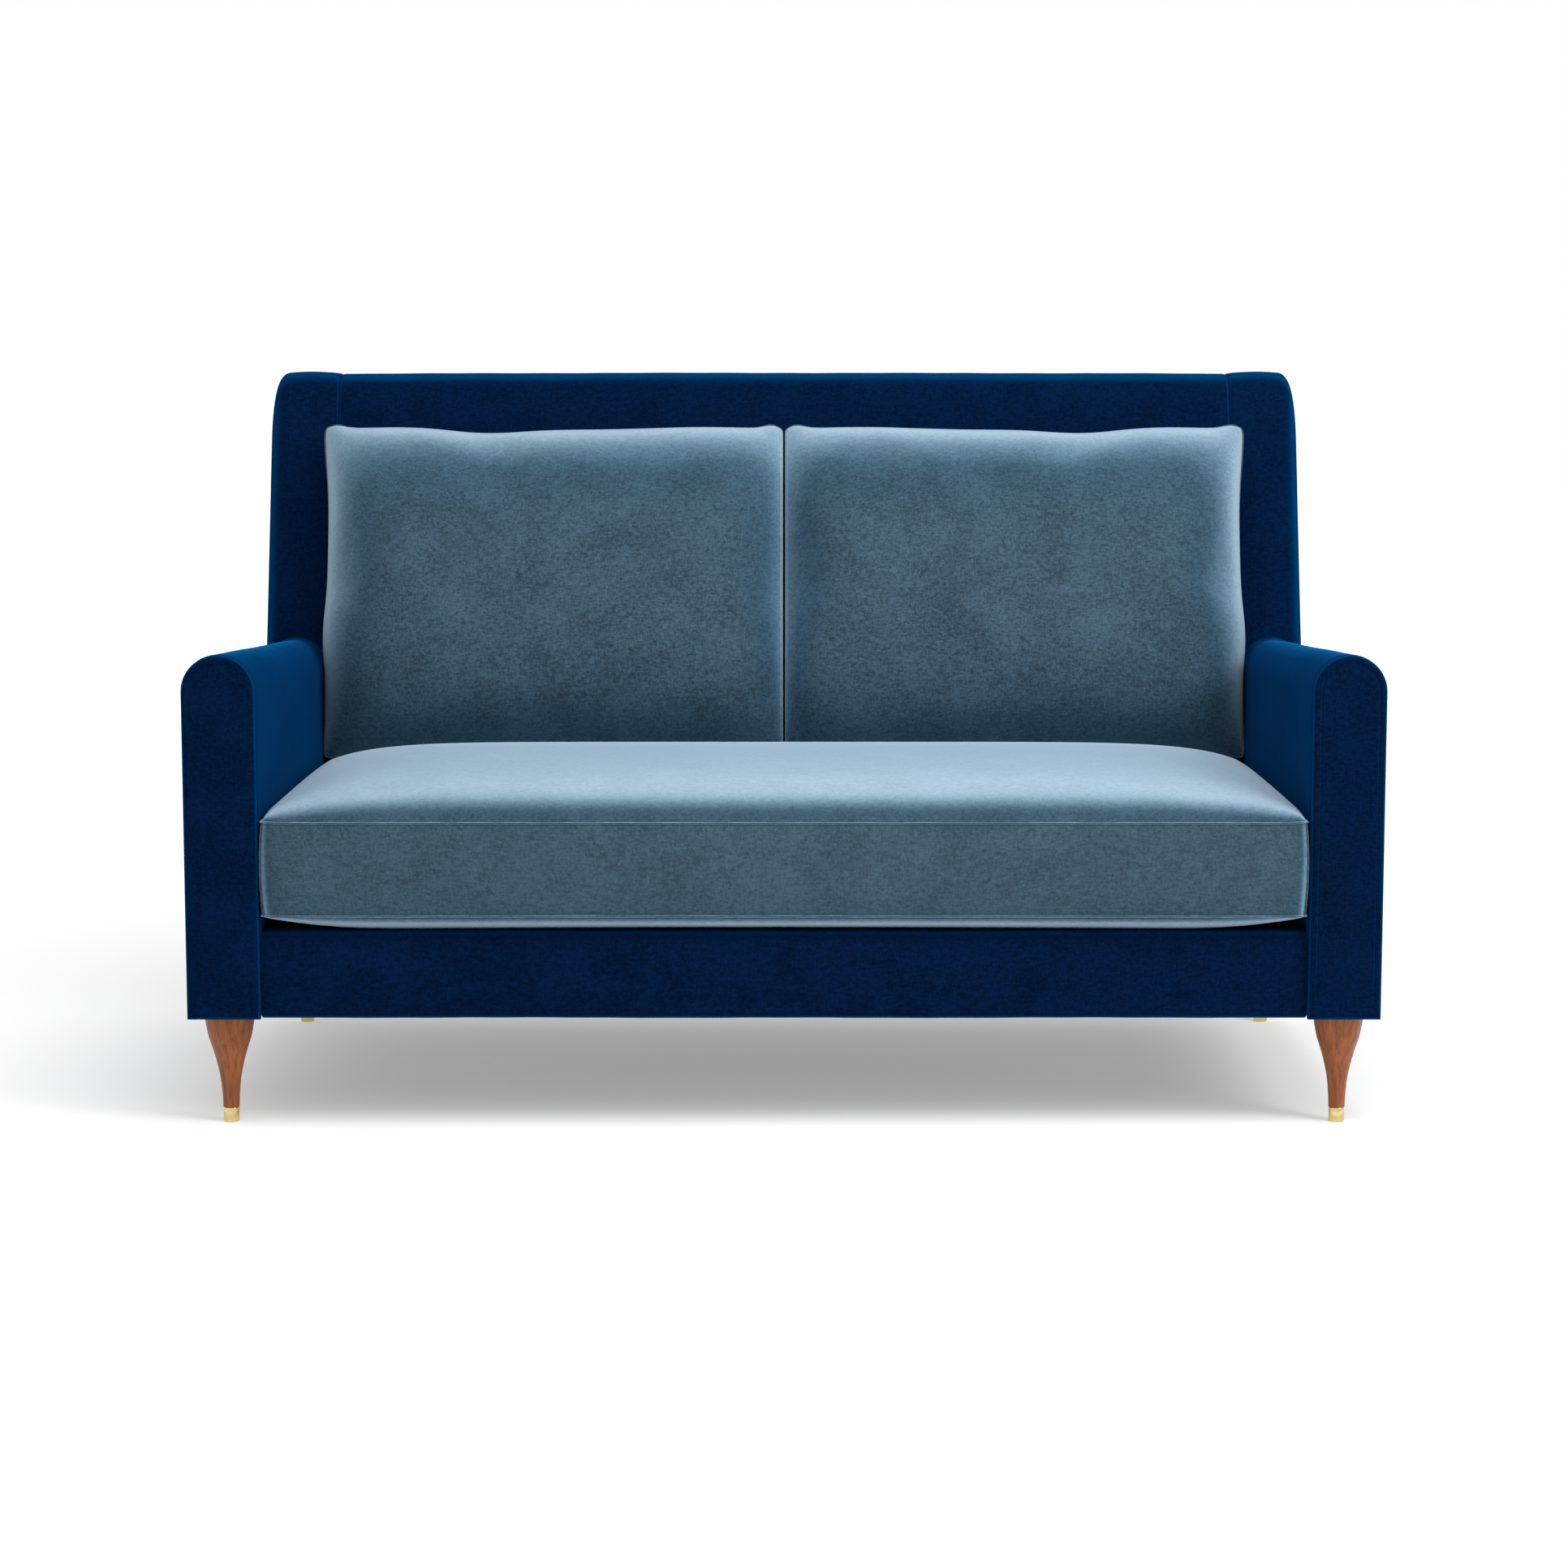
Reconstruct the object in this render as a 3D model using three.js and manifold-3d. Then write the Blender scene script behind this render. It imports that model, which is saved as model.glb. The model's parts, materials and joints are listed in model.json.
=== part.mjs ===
// High back settee: upholstered timber frame, zigzag seat springs, one bench seat cushion,
// two loose back cushions and four turned legs in brass ferrules.
// Millimetres, +Z up. It faces -Y, with +X at the viewer's right.

import * as THREE from 'three';
import { mergeVertices } from 'three/addons/utils/BufferGeometryUtils.js';
import Module from 'manifold-3d';

const wasm = await Module();
wasm.setup();

// Driving sizes. The front of the arms is at y = 0 and the floor at z = 0
const overallWidth = 1600;
const backHeight = 1013;
const armWidth = 100;
const armFrontHeight = 640;
const armDrop = 31;
const legHeight = 150;
const deckHeight = 267;
const seatDepth = 639;
const frameDepth = 848;
const insideRake = THREE.MathUtils.degToRad(15.5);
const backTopThickness = 93;

// Clearances
const fitGap = 0.3;
const overrun = 20;

// Upholstery
const facingThickness = 16;
const facingEdgeRadius = 4;
const armInnerPad = 26;
const armTopPad = 34;
const armInnerBottom = 248;
const outsideWall = 8;
const uprightPad = 26;
const uprightOuterRadius = 35;
const seamRadius = 6;
const backPad = 40;
const backFrontRadius = 25;
const backRearRadius = 18;
const smallestRadius = 3;
const backPanelBottom = 262;
const backLipDepth = 90;
const railRecess = 12;
const railFrontPad = 10;
const railTopPad = 22;
const railTopRadius = 18;
const railBottomRadius = 6;
const railLowerLip = 22;
const deckThickness = 14;
const dustCoverThickness = 1.8;

// Timber
const boardThickness = 22;
const railTimberTop = 240;
const armPostThickness = 28;
const armTopRailThickness = 30;
const springRailSetback = 50;
const stretcherHeight = 72;
const topRailHeight = 75;
const topRailThickness = 40;
const tackRailHeight = 60;
const centreUprightWidth = 40;
const postWindowBottom = 300;
const postWindowTop = 610;
const postWindowMargin = 42;
const postWindowRadius = 12;
const legBlockSize = 80;
const legBlockHeight = 38;

// Seat springs and back webbing
const springCount = 7;
const springLoops = 18;
const wireRadius = 2;
const springHalfWidth = 26;
const springEndInset = 11;
const webbingPlaceShares = [-0.667, -0.333, 0.333, 0.667];
const webbingWidth = 50;
const webbingThickness = 2.5;

// Legs
const legInset = 49;
const frontLegSetback = 61;
const rearLegSetback = 787;
const legTopRadius = 34;
const legTopChamfer = 1.5;
const ferruleHeight = 20.2;
const ferruleRadius = 10.8;
const ferruleWall = 1.2;
const ferruleFloor = 2.2;
const ferruleChamfer = 0.8;
const boltRadius = 4;
const boltChamfer = 1;
const boltInLeg = 32;
const boltBoreDepth = 34;
const boltAboveBlock = 6;
const nutBarrelRadius = 5.5;
const nutBarrelDepth = 12;
const nutFlangeRadius = 11;
const nutFlangeThickness = 1.6;
const coverHoleRadius = 6;

// Seat cushion
const seatLowerSeam = 290;
const seatUpperSeam = 417;
const seatCrownHeight = 60;
const seatFrontProudDepth = 2;
const seatBoxingBulgeDepth = 4;
const seatSideClearance = 0.6;
const seatRearClearance = 1;
const seatCornerPullWidth = 2;
const seatDrawInWidth = 1.5;
const seatColumnCount = 28;
const seatRowCount = 14;
const seatBandCount = 3;

// Back cushions
const pillowHeight = 522;
const pillowBulgeDepth = 95;
const pillowSeamDepth = 45;
const pillowCentreGap = 3;
const pillowSideGap = 3;
const pillowFlareWidth = 11;
const pillowTopDipDepth = 13;
const pillowDrawInWidth = 5;
const pillowColumnCount = 18;
const pillowRowCount = 16;

// Sizes worked out from the driving sizes
const innerHalfWidth = overallWidth / 2 - armWidth;
const outerHalfWidth = overallWidth / 2;
const armRadius = armWidth / 2;
const timberBottom = legHeight + dustCoverThickness + 2 * fitGap;
const timberOuter = outerHalfWidth - outsideWall - fitGap;
const timberInner = timberOuter - boardThickness;
const crossRailEnd = timberInner - fitGap;
const armTimberInner = innerHalfWidth + armInnerPad + fitGap;
const frontRailFace = railRecess + railFrontPad + fitGap;
const frontRailRear = frontRailFace + boardThickness;
const deckFront = frontRailRear + fitGap;
const springRailFront = seatDepth + springRailSetback;
const springRailRear = springRailFront + boardThickness;
const webbingPlane = backPad + fitGap;
const backTimberPlane = webbingPlane + webbingThickness + fitGap;
const backLipBottom = backHeight - backLipDepth;

const insideBackAt = (z) => seatDepth + (z - deckHeight) * Math.tan(insideRake);
const outsideRake = Math.atan(
  (insideBackAt(backHeight) + backTopThickness - frameDepth) / (backHeight - legHeight));
const outsideBackAt = (z) => frameDepth + (z - legHeight) * Math.tan(outsideRake);
const behindInsideBack = (z, offset) => insideBackAt(z) + offset / Math.cos(insideRake);
const beforeOutsideBack = (z, offset) => outsideBackAt(z) - offset / Math.cos(outsideRake);
const armSlope = armDrop / insideBackAt(armFrontHeight - armDrop);
const blockTop = timberBottom + legBlockHeight;

// Finishes
const navyVelvet = { color: 0x0a2750, roughness: 0.85, metalness: 0 };
const blueVelvet = { color: 0x4f7388, roughness: 0.8, metalness: 0 };
const walnut = { color: 0x7a4526, roughness: 0.45, metalness: 0 };
const brass = { color: 0xd9c48a, roughness: 0.28, metalness: 1 };
const steel = { color: 0x9a9c9e, roughness: 0.4, metalness: 1 };
const hardwood = { color: 0xc49a6c, roughness: 0.7, metalness: 0 };
const webbing = { color: 0x6b5a45, roughness: 0.9, metalness: 0 };
const dustCloth = { color: 0x1b1b1d, roughness: 0.95, metalness: 0 };

const settee = new THREE.Group();

// Gives a geometry shared vertices and faces that point out
function closedSolid(geometry) {
  const bare = geometry.clone();
  bare.deleteAttribute('normal');
  bare.deleteAttribute('uv');
  const welded = mergeVertices(bare);
  const at = (i) => new THREE.Vector3().fromBufferAttribute(welded.getAttribute('position'), i);
  const triangles = [];
  let volume = 0;
  for (let i = 0; i < welded.index.count; i += 3) {
    const [a, b, c] = [0, 1, 2].map((k) => welded.index.getX(i + k));
    if (a === b || b === c || c === a) continue;
    triangles.push([a, b, c]);
    volume += at(a).dot(at(b).cross(at(c)));
  }
  welded.setIndex(triangles.flatMap(([a, b, c]) => (volume > 0 ? [a, b, c] : [a, c, b])));
  welded.computeVertexNormals();
  return welded;
}

function addPiece(name, geometry, finish) {
  const mesh = new THREE.Mesh(closedSolid(geometry), new THREE.MeshStandardMaterial(finish));
  mesh.name = name;
  settee.add(mesh);
}

// Adds a piece of the right side and its mirror image on the left
function addPair(name, geometry, finish) {
  addPiece(`${name}_right`, geometry, finish);
  addPiece(`${name}_left`, closedSolid(geometry).scale(-1, 1, 1), finish);
}

function asManifold(geometry) {
  const solid = closedSolid(geometry);
  return new wasm.Manifold(new wasm.Mesh({
    numProp: 3,
    vertProperties: new Float32Array(solid.getAttribute('position').array),
    triVerts: new Uint32Array(solid.index.array),
  }));
}

function asGeometry(manifold) {
  const { vertProperties, triVerts } = manifold.getMesh();
  const geometry = new THREE.BufferGeometry();
  geometry.setAttribute('position', new THREE.BufferAttribute(vertProperties, 3));
  geometry.setIndex([...triVerts]);
  return geometry;
}

const joined = (a, b) => asGeometry(asManifold(a).add(asManifold(b)));
const cut = (body, ...tools) => asGeometry(tools.reduce((rest, tool) => rest.subtract(asManifold(tool)),
  asManifold(body)));

// Outline through corners [a, b, radius], each rounded by an arc of a few steps
function rounded(corners, steps = 4) {
  const points = [];
  corners.forEach(([a, b, radius = 0], i) => {
    const corner = new THREE.Vector2(a, b);
    if (radius === 0) {
      points.push(corner);
      return;
    }
    const towards = (k) => new THREE.Vector2(...corners[(i + k) % corners.length]).sub(corner).normalize();
    const [back, ahead] = [towards(corners.length - 1), towards(1)];
    const halfAngle = Math.acos(back.dot(ahead)) / 2;
    const middle = back.clone().add(ahead).normalize();
    const centre = corner.clone().addScaledVector(middle, radius / Math.sin(halfAngle));
    const start = corner.clone().addScaledVector(back, radius / Math.tan(halfAngle)).sub(centre);
    const sweep = -Math.sign(start.cross(back)) * (Math.PI - 2 * halfAngle);
    for (let step = 0; step <= steps; step++) {
      points.push(start.clone().rotateAround(new THREE.Vector2(), sweep * step / steps).add(centre));
    }
  });
  return points;
}

// Flat shape, its outline running anticlockwise
const shapeOf = (points) => new THREE.Shape(
  THREE.ShapeUtils.isClockWise(points) ? [...points].reverse() : points);

// Board with its outline in the side view (y, z), from x0 to x1
function boardAcross(points, x0, x1, hole) {
  const shape = shapeOf(points);
  if (hole) shape.holes.push(new THREE.Path(hole));
  const geometry = new THREE.ExtrudeGeometry(shape, { depth: x1 - x0, bevelEnabled: false });
  const axes = new THREE.Matrix4().makeBasis(
    new THREE.Vector3(0, 1, 0), new THREE.Vector3(0, 0, 1), new THREE.Vector3(1, 0, 0));
  return geometry.applyMatrix4(axes).translate(x0, 0, 0);
}

function block(x0, x1, y0, y1, z0, z1) {
  return new THREE.BoxGeometry(x1 - x0, y1 - y0, z1 - z0)
    .translate((x0 + x1) / 2, (y0 + y1) / 2, (z0 + z1) / 2);
}

// Plate with its outline in plan, from z0 to z1, with round holes
function plate(x0, x1, y0, y1, z0, z1, holes, holeRadius) {
  const shape = shapeOf([[x0, y0], [x1, y0], [x1, y1], [x0, y1]].map(([x, y]) => new THREE.Vector2(x, y)));
  holes.forEach(([x, y]) => shape.holes.push(new THREE.Path().absarc(x, y, holeRadius, 0, 2 * Math.PI)));
  const settings = { depth: z1 - z0, bevelEnabled: false, curveSegments: 6 };
  return new THREE.ExtrudeGeometry(shape, settings).translate(0, 0, z0);
}

// Solid through rings of equally many points, with flat ends
function loft(rings, flatten) {
  const count = rings[0].length;
  const faces = [];
  for (let r = 0; r + 1 < rings.length; r++) {
    for (let i = 0; i < count; i++) {
      const [a, b] = [r * count + i, r * count + (i + 1) % count];
      faces.push(a, b, b + count, a, b + count, a + count);
    }
  }
  const endFaces = (ring) => THREE.ShapeUtils.triangulateShape(ring.map(flatten), [])
    .map((face) => [...face].sort((a, b) => a - b));
  endFaces(rings[0]).forEach(([a, b, c]) => faces.push(c, b, a));
  const last = (rings.length - 1) * count;
  endFaces(rings[rings.length - 1]).forEach(([a, b, c]) => faces.push(last + a, last + b, last + c));
  const geometry = new THREE.BufferGeometry().setFromPoints(rings.flat());
  geometry.setIndex(faces);
  return geometry;
}

const sideView = (p) => new THREE.Vector2(p.y, p.z);
const frontView = (p) => new THREE.Vector2(p.x, p.z);

// Stations of a rounded end: how far along it each lies, and how far its outline is drawn in
function roundedEnd(radius, steps) {
  return Array.from({ length: steps + 1 }, (_, i) => {
    const angle = (i / steps) * Math.PI / 2;
    return { along: radius * (1 - Math.sin(angle)), inset: radius * (1 - Math.cos(angle)) };
  });
}

// Padding across the settee from x0 to x1, its outline drawn in towards softened ends
function paddingAcross(outline, x0, x1, startRadius, endRadius, endSteps = 2) {
  const start = roundedEnd(startRadius, 2).map(({ along, inset }) => ({ x: x0 + along, inset }));
  const end = roundedEnd(endRadius, endSteps).map(({ along, inset }) => ({ x: x1 - along, inset }));
  const rings = [...start.reverse(), ...end].map(({ x, inset }) =>
    outline(inset).map((p) => new THREE.Vector3(x, p.x, p.y)));
  return loft(rings, sideView);
}

// Corners of the back in the side view, drawn in at the front and top, and at the rear
function backCorners(inset, rearInset, bottom) {
  const top = backHeight - inset;
  const front = (z) => behindInsideBack(z, inset);
  const rear = (z) => beforeOutsideBack(z, rearInset);
  const softer = (radius) => Math.max(radius - inset, smallestRadius);
  return [
    [front(bottom), bottom],
    [front(top), top, softer(backFrontRadius)],
    [rear(top), top, softer(backRearRadius)],
    [rear(bottom), bottom],
  ];
}

// Strip of timber or cloth that follows the inside back, between two depths behind its face
function rakedStrip(nearOffset, farOffset, bottom, top) {
  return [
    [behindInsideBack(bottom, nearOffset), bottom],
    [behindInsideBack(top, nearOffset), top],
    [behindInsideBack(top, farOffset), top],
    [behindInsideBack(bottom, farOffset), bottom],
  ].map(([y, z]) => new THREE.Vector2(y, z));
}

// Line along the arm: it starts at this height at the arm's front and falls with the crest, or stays level
function armLine(x, height, falls = true) {
  const slope = falls ? armSlope : 0;
  const atDepth = (y) => new THREE.Vector3(x, y, height - slope * y);
  const beforeBack = (gap) => {
    const run = seatDepth + (height - deckHeight) * Math.tan(insideRake) - gap;
    return atDepth(run / (1 + slope * Math.tan(insideRake)));
  };
  return { atDepth, beforeBack };
}

// Round-topped section of the arm, from its inner foot over the crest to its outer foot
function archLines(innerFoot, steps = 12) {
  const lines = [armLine(innerHalfWidth, innerFoot, false)];
  for (let i = 0; i <= steps; i++) {
    const angle = Math.PI * (1 - i / steps);
    lines.push(armLine(innerHalfWidth + armRadius * (1 + Math.cos(angle)),
      armFrontHeight - armRadius * (1 - Math.sin(angle))));
  }
  lines.push(armLine(outerHalfWidth, legHeight, false));
  return lines;
}

// Arm padding: an upside down U, thin outside, thick at the crest and inside
function armCover() {
  const channelTop = armFrontHeight - armTopPad;
  const channelInner = innerHalfWidth + armInnerPad;
  const channelOuter = outerHalfWidth - outsideWall;
  const lines = [
    ...archLines(armInnerBottom),
    armLine(channelOuter, legHeight, false),
    armLine(channelOuter, channelTop),
    armLine(channelInner, channelTop),
    armLine(channelInner, armInnerBottom, false),
  ];
  const front = lines.map((line) => line.atDepth(facingThickness + fitGap));
  const rear = lines.map((line) => line.beforeBack(fitGap));
  return loft([front, rear], frontView);
}

// Arched front panel of the arm, its front edge softened
function armFacing() {
  const ring = (y, inset) => {
    const points = [];
    const steps = 16;
    const centreZ = armFrontHeight - armRadius;
    const radius = armRadius - inset;
    points.push(new THREE.Vector3(innerHalfWidth + inset, y, legHeight));
    for (let i = 0; i <= steps; i++) {
      const angle = Math.PI * (1 - i / steps);
      points.push(new THREE.Vector3(innerHalfWidth + armRadius + radius * Math.cos(angle), y,
        centreZ + radius * Math.sin(angle)));
    }
    points.push(new THREE.Vector3(outerHalfWidth - inset, y, legHeight));
    return points;
  };
  const edge = roundedEnd(facingEdgeRadius, 2).reverse().map(({ along, inset }) => ring(along, inset));
  return loft([...edge, ring(facingThickness, 0)], frontView);
}

// Padded end of the back: a soft-edged tray that holds the back post, open towards the middle and below
function uprightCover() {
  const soft = paddingAcross((inset) => rounded(backCorners(inset, inset / 2, legHeight)),
    innerHalfWidth, outerHalfWidth, seamRadius, uprightOuterRadius, 5);
  const sections = archLines(legHeight);
  const stub = loft([
    sections.map((line) => line.beforeBack(0)),
    sections.map((line) => line.atDepth(line.beforeBack(0).y + uprightOuterRadius)),
  ], frontView);
  const hollow = boardAcross(rounded(backCorners(uprightPad, outsideWall, legHeight - overrun)),
    innerHalfWidth - overrun, outerHalfWidth - outsideWall);
  const channel = [
    armLine(innerHalfWidth + armInnerPad, legHeight - overrun, false),
    armLine(innerHalfWidth + armInnerPad, armFrontHeight - armTopPad),
    armLine(outerHalfWidth - outsideWall, armFrontHeight - armTopPad),
    armLine(outerHalfWidth - outsideWall, legHeight - overrun, false),
  ];
  const armOpening = loft([
    channel.map((line) => line.beforeBack(overrun)),
    channel.map((line) => line.atDepth(line.beforeBack(0).y + uprightPad + overrun)),
  ], frontView);
  const seatOpening = block(innerHalfWidth - overrun, outerHalfWidth - outsideWall,
    insideBackAt(legHeight) - overrun, behindInsideBack(armInnerBottom, uprightPad) + overrun,
    legHeight - overrun, armInnerBottom);
  return cut(joined(soft, stub), hollow, armOpening, seatOpening);
}

// Inside back: front pad, top and rear lip in one hooked section
function insideBackPanel() {
  const outline = (inset) => {
    const [foot, frontTop, rearTop] = backCorners(inset, inset / 2, backPanelBottom);
    const innerTop = backHeight - uprightPad;
    return rounded([
      foot, frontTop, rearTop,
      [beforeOutsideBack(backLipBottom, inset / 2), backLipBottom],
      [beforeOutsideBack(backLipBottom, outsideWall), backLipBottom],
      [beforeOutsideBack(innerTop, outsideWall), innerTop],
      [behindInsideBack(innerTop, backPad), innerTop],
      [behindInsideBack(backPanelBottom, backPad), backPanelBottom],
    ]);
  };
  const end = innerHalfWidth - fitGap;
  return paddingAcross(outline, -end, end, seamRadius, seamRadius);
}

function outsideBackPanel() {
  const top = backLipBottom - fitGap;
  const outline = [
    [beforeOutsideBack(legHeight, outsideWall), legHeight],
    [beforeOutsideBack(top, outsideWall), top],
    [outsideBackAt(top), top],
    [outsideBackAt(legHeight), legHeight],
  ].map(([y, z]) => new THREE.Vector2(y, z));
  return boardAcross(outline, fitGap - innerHalfWidth, innerHalfWidth - fitGap);
}

// Padded front border: wraps the front rail from under its lower edge to over its top
function frontRailCover() {
  const underside = legHeight + fitGap;
  const outline = (inset) => rounded([
    [frontRailRear, deckHeight - inset],
    [railRecess + inset, deckHeight - inset, railTopRadius],
    [railRecess + inset, underside, railBottomRadius],
    [railRecess + railLowerLip, underside],
    [railRecess + railLowerLip, timberBottom - fitGap],
    [frontRailFace - fitGap, timberBottom - fitGap],
    [frontRailFace - fitGap, deckHeight - railTopPad],
    [frontRailRear, deckHeight - railTopPad],
  ]);
  const end = innerHalfWidth - fitGap;
  return paddingAcross(outline, -end, end, seamRadius, seamRadius);
}

function addUpholstery() {
  addPair('arm_cover', armCover(), navyVelvet);
  addPair('arm_facing', armFacing(), navyVelvet);
  addPair('upright_cover', uprightCover(), navyVelvet);
  addPiece('inside_back_panel', insideBackPanel(), navyVelvet);
  addPiece('outside_back_panel', outsideBackPanel(), navyVelvet);
  addPiece('front_rail_cover', frontRailCover(), navyVelvet);
  addPiece('seat_deck', block(fitGap - innerHalfWidth, innerHalfWidth - fitGap,
    deckFront, insideBackAt(backPanelBottom) - fitGap, deckHeight - deckThickness, deckHeight), dustCloth);
  const coverBottom = legHeight + fitGap;
  addPiece('dust_cover', plate(-timberOuter, timberOuter, railRecess + railLowerLip + fitGap,
    beforeOutsideBack(legHeight, outsideWall) - fitGap, coverBottom, coverBottom + dustCoverThickness,
    legPlaces().map(({ x, y }) => [x, y]), coverHoleRadius), dustCloth);
}

// Plywood end of the back, with a window in its wide lower part
function backPost() {
  const outline = rounded(backCorners(uprightPad + fitGap, outsideWall + fitGap, timberBottom));
  const near = uprightPad + fitGap + postWindowMargin;
  const far = outsideWall + fitGap + postWindowMargin;
  const window = rounded([
    [behindInsideBack(postWindowBottom, near), postWindowBottom, postWindowRadius],
    [behindInsideBack(postWindowTop, near), postWindowTop, postWindowRadius],
    [beforeOutsideBack(postWindowTop, far), postWindowTop, postWindowRadius],
    [beforeOutsideBack(postWindowBottom, far), postWindowBottom, postWindowRadius],
  ]);
  return boardAcross(outline, timberInner, timberOuter, window);
}

// Sloping board under the arm's crest, from the facing to the back post
function armTopRail() {
  const top = armLine(0, armFrontHeight - armTopPad - fitGap);
  const underside = armLine(0, armFrontHeight - armTopPad - fitGap - armTopRailThickness);
  const toPost = -uprightPad / Math.cos(insideRake);
  const front = facingThickness + fitGap;
  const corners = [
    top.atDepth(front), top.beforeBack(toPost), underside.beforeBack(toPost), underside.atDepth(front),
  ];
  return boardAcross(corners.map(sideView), armTimberInner, timberOuter);
}

function sideRail() {
  const rear = (z) => behindInsideBack(z, uprightPad);
  const corners = [
    [deckFront, timberBottom],
    [rear(timberBottom), timberBottom],
    [rear(railTimberTop), railTimberTop],
    [deckFront, railTimberTop],
  ].map(([y, z]) => new THREE.Vector2(y, z));
  return boardAcross(corners, timberInner, timberOuter);
}

function rearRail() {
  const near = outsideWall + fitGap + boardThickness;
  const far = outsideWall + fitGap;
  const corners = [
    [beforeOutsideBack(timberBottom, near), timberBottom],
    [beforeOutsideBack(railTimberTop, near), railTimberTop],
    [beforeOutsideBack(railTimberTop, far), railTimberTop],
    [beforeOutsideBack(timberBottom, far), timberBottom],
  ].map(([y, z]) => new THREE.Vector2(y, z));
  return boardAcross(corners, -crossRailEnd, crossRailEnd);
}

function addBaseTimber() {
  const frontRailEnd = armTimberInner - fitGap;
  addPiece('front_rail', block(-frontRailEnd, frontRailEnd, frontRailFace, frontRailRear,
    timberBottom, railTimberTop), hardwood);
  addPiece('spring_rail', block(-crossRailEnd, crossRailEnd, springRailFront, springRailRear,
    timberBottom, railTimberTop), hardwood);
  addPiece('rear_rail', rearRail(), hardwood);
  addPair('side_rail', sideRail(), hardwood);
  addPiece('seat_stretcher', block(-boardThickness / 2, boardThickness / 2, deckFront,
    springRailFront - fitGap, timberBottom, timberBottom + stretcherHeight), hardwood);
}

function addArmTimber() {
  const front = facingThickness + fitGap;
  const rear = front + armPostThickness;
  const top = armLine(0, armFrontHeight - armTopPad - armTopRailThickness - 2 * fitGap).atDepth(rear).z;
  addPair('arm_front_post', block(armTimberInner, timberOuter, front, rear, timberBottom, top), hardwood);
  addPair('arm_top_rail', armTopRail(), hardwood);
}

function addBackTimber() {
  addPair('back_post', backPost(), hardwood);
  const topRailTop = backHeight - uprightPad - fitGap;
  const topRailBottom = topRailTop - topRailHeight;
  const tackRailTop = backPanelBottom + tackRailHeight;
  addPiece('back_top_rail', boardAcross(
    rakedStrip(backTimberPlane, backTimberPlane + topRailThickness, topRailBottom, topRailTop),
    -crossRailEnd, crossRailEnd), hardwood);
  addPiece('back_tack_rail', boardAcross(
    rakedStrip(backTimberPlane, backTimberPlane + boardThickness, backPanelBottom, tackRailTop),
    -crossRailEnd, crossRailEnd), hardwood);
  addPiece('back_centre_upright', boardAcross(
    rakedStrip(backTimberPlane, backTimberPlane + boardThickness, tackRailTop + fitGap, topRailBottom - fitGap),
    -centreUprightWidth / 2, centreUprightWidth / 2), hardwood);
  webbingPlaceShares.forEach((share, i) => {
    const x = share * innerHalfWidth;
    addPiece(`back_webbing_${i + 1}`, boardAcross(
      rakedStrip(webbingPlane, webbingPlane + webbingThickness, (backPanelBottom + tackRailTop) / 2,
        (topRailBottom + topRailTop) / 2), x - webbingWidth / 2, x + webbingWidth / 2), webbing);
  });
}

// Centre line of a zigzag spring: round-ended loops from rail to rail, arched up to the deck
function springPoints(x) {
  const start = frontRailFace + springEndInset;
  const pitch = (springRailFront + springEndInset - start) / springLoops;
  const restHeight = railTimberTop + fitGap + wireRadius;
  const rise = deckHeight - deckThickness - fitGap - wireRadius - restHeight;
  const bendShares = [[0.72, 0.14], [1, 0.5], [0.72, 0.86]];
  const points = [];
  for (let loop = 0; loop < springLoops; loop++) {
    const side = loop % 2 === 0 ? 1 : -1;
    for (const [across, along] of bendShares) {
      const run = (loop + along) / springLoops;
      points.push(new THREE.Vector3(x + side * across * springHalfWidth, start + (loop + along) * pitch,
        restHeight + rise * Math.sin(Math.PI * run)));
    }
  }
  return points;
}

// Round wire through the points, its sections standing upright
function wire(points, radius, sides = 5) {
  const up = new THREE.Vector3(0, 0, 1);
  const rings = points.map((point, i) => {
    const ahead = points[Math.min(i + 1, points.length - 1)].clone()
      .sub(points[Math.max(i - 1, 0)]).normalize();
    const across = new THREE.Vector3().crossVectors(ahead, up).normalize();
    const rise = new THREE.Vector3().crossVectors(across, ahead);
    return Array.from({ length: sides }, (_, k) => {
      const angle = (k / sides) * 2 * Math.PI;
      return point.clone().addScaledVector(across, radius * Math.cos(angle))
        .addScaledVector(rise, radius * Math.sin(angle));
    });
  });
  return loft(rings, frontView);
}

function addSprings() {
  const spacing = 2 * innerHalfWidth / springCount;
  for (let i = 0; i < springCount; i++) {
    const x = (i + 0.5) * spacing - innerHalfWidth;
    addPiece(`seat_spring_${i + 1}`, wire(springPoints(x), wireRadius), steel);
  }
}

function legPlaces() {
  const x = outerHalfWidth - legInset;
  return [
    { name: 'front_left', x: -x, y: frontLegSetback },
    { name: 'front_right', x, y: frontLegSetback },
    { name: 'rear_left', x: -x, y: rearLegSetback },
    { name: 'rear_right', x, y: rearLegSetback },
  ];
}

// Turned piece: its profile [radius, height] goes round the Z axis
function turned(profile, sides) {
  const points = profile.map(([radius, height]) => new THREE.Vector2(radius, height));
  return new THREE.LatheGeometry(points, sides).rotateX(Math.PI / 2);
}

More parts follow.
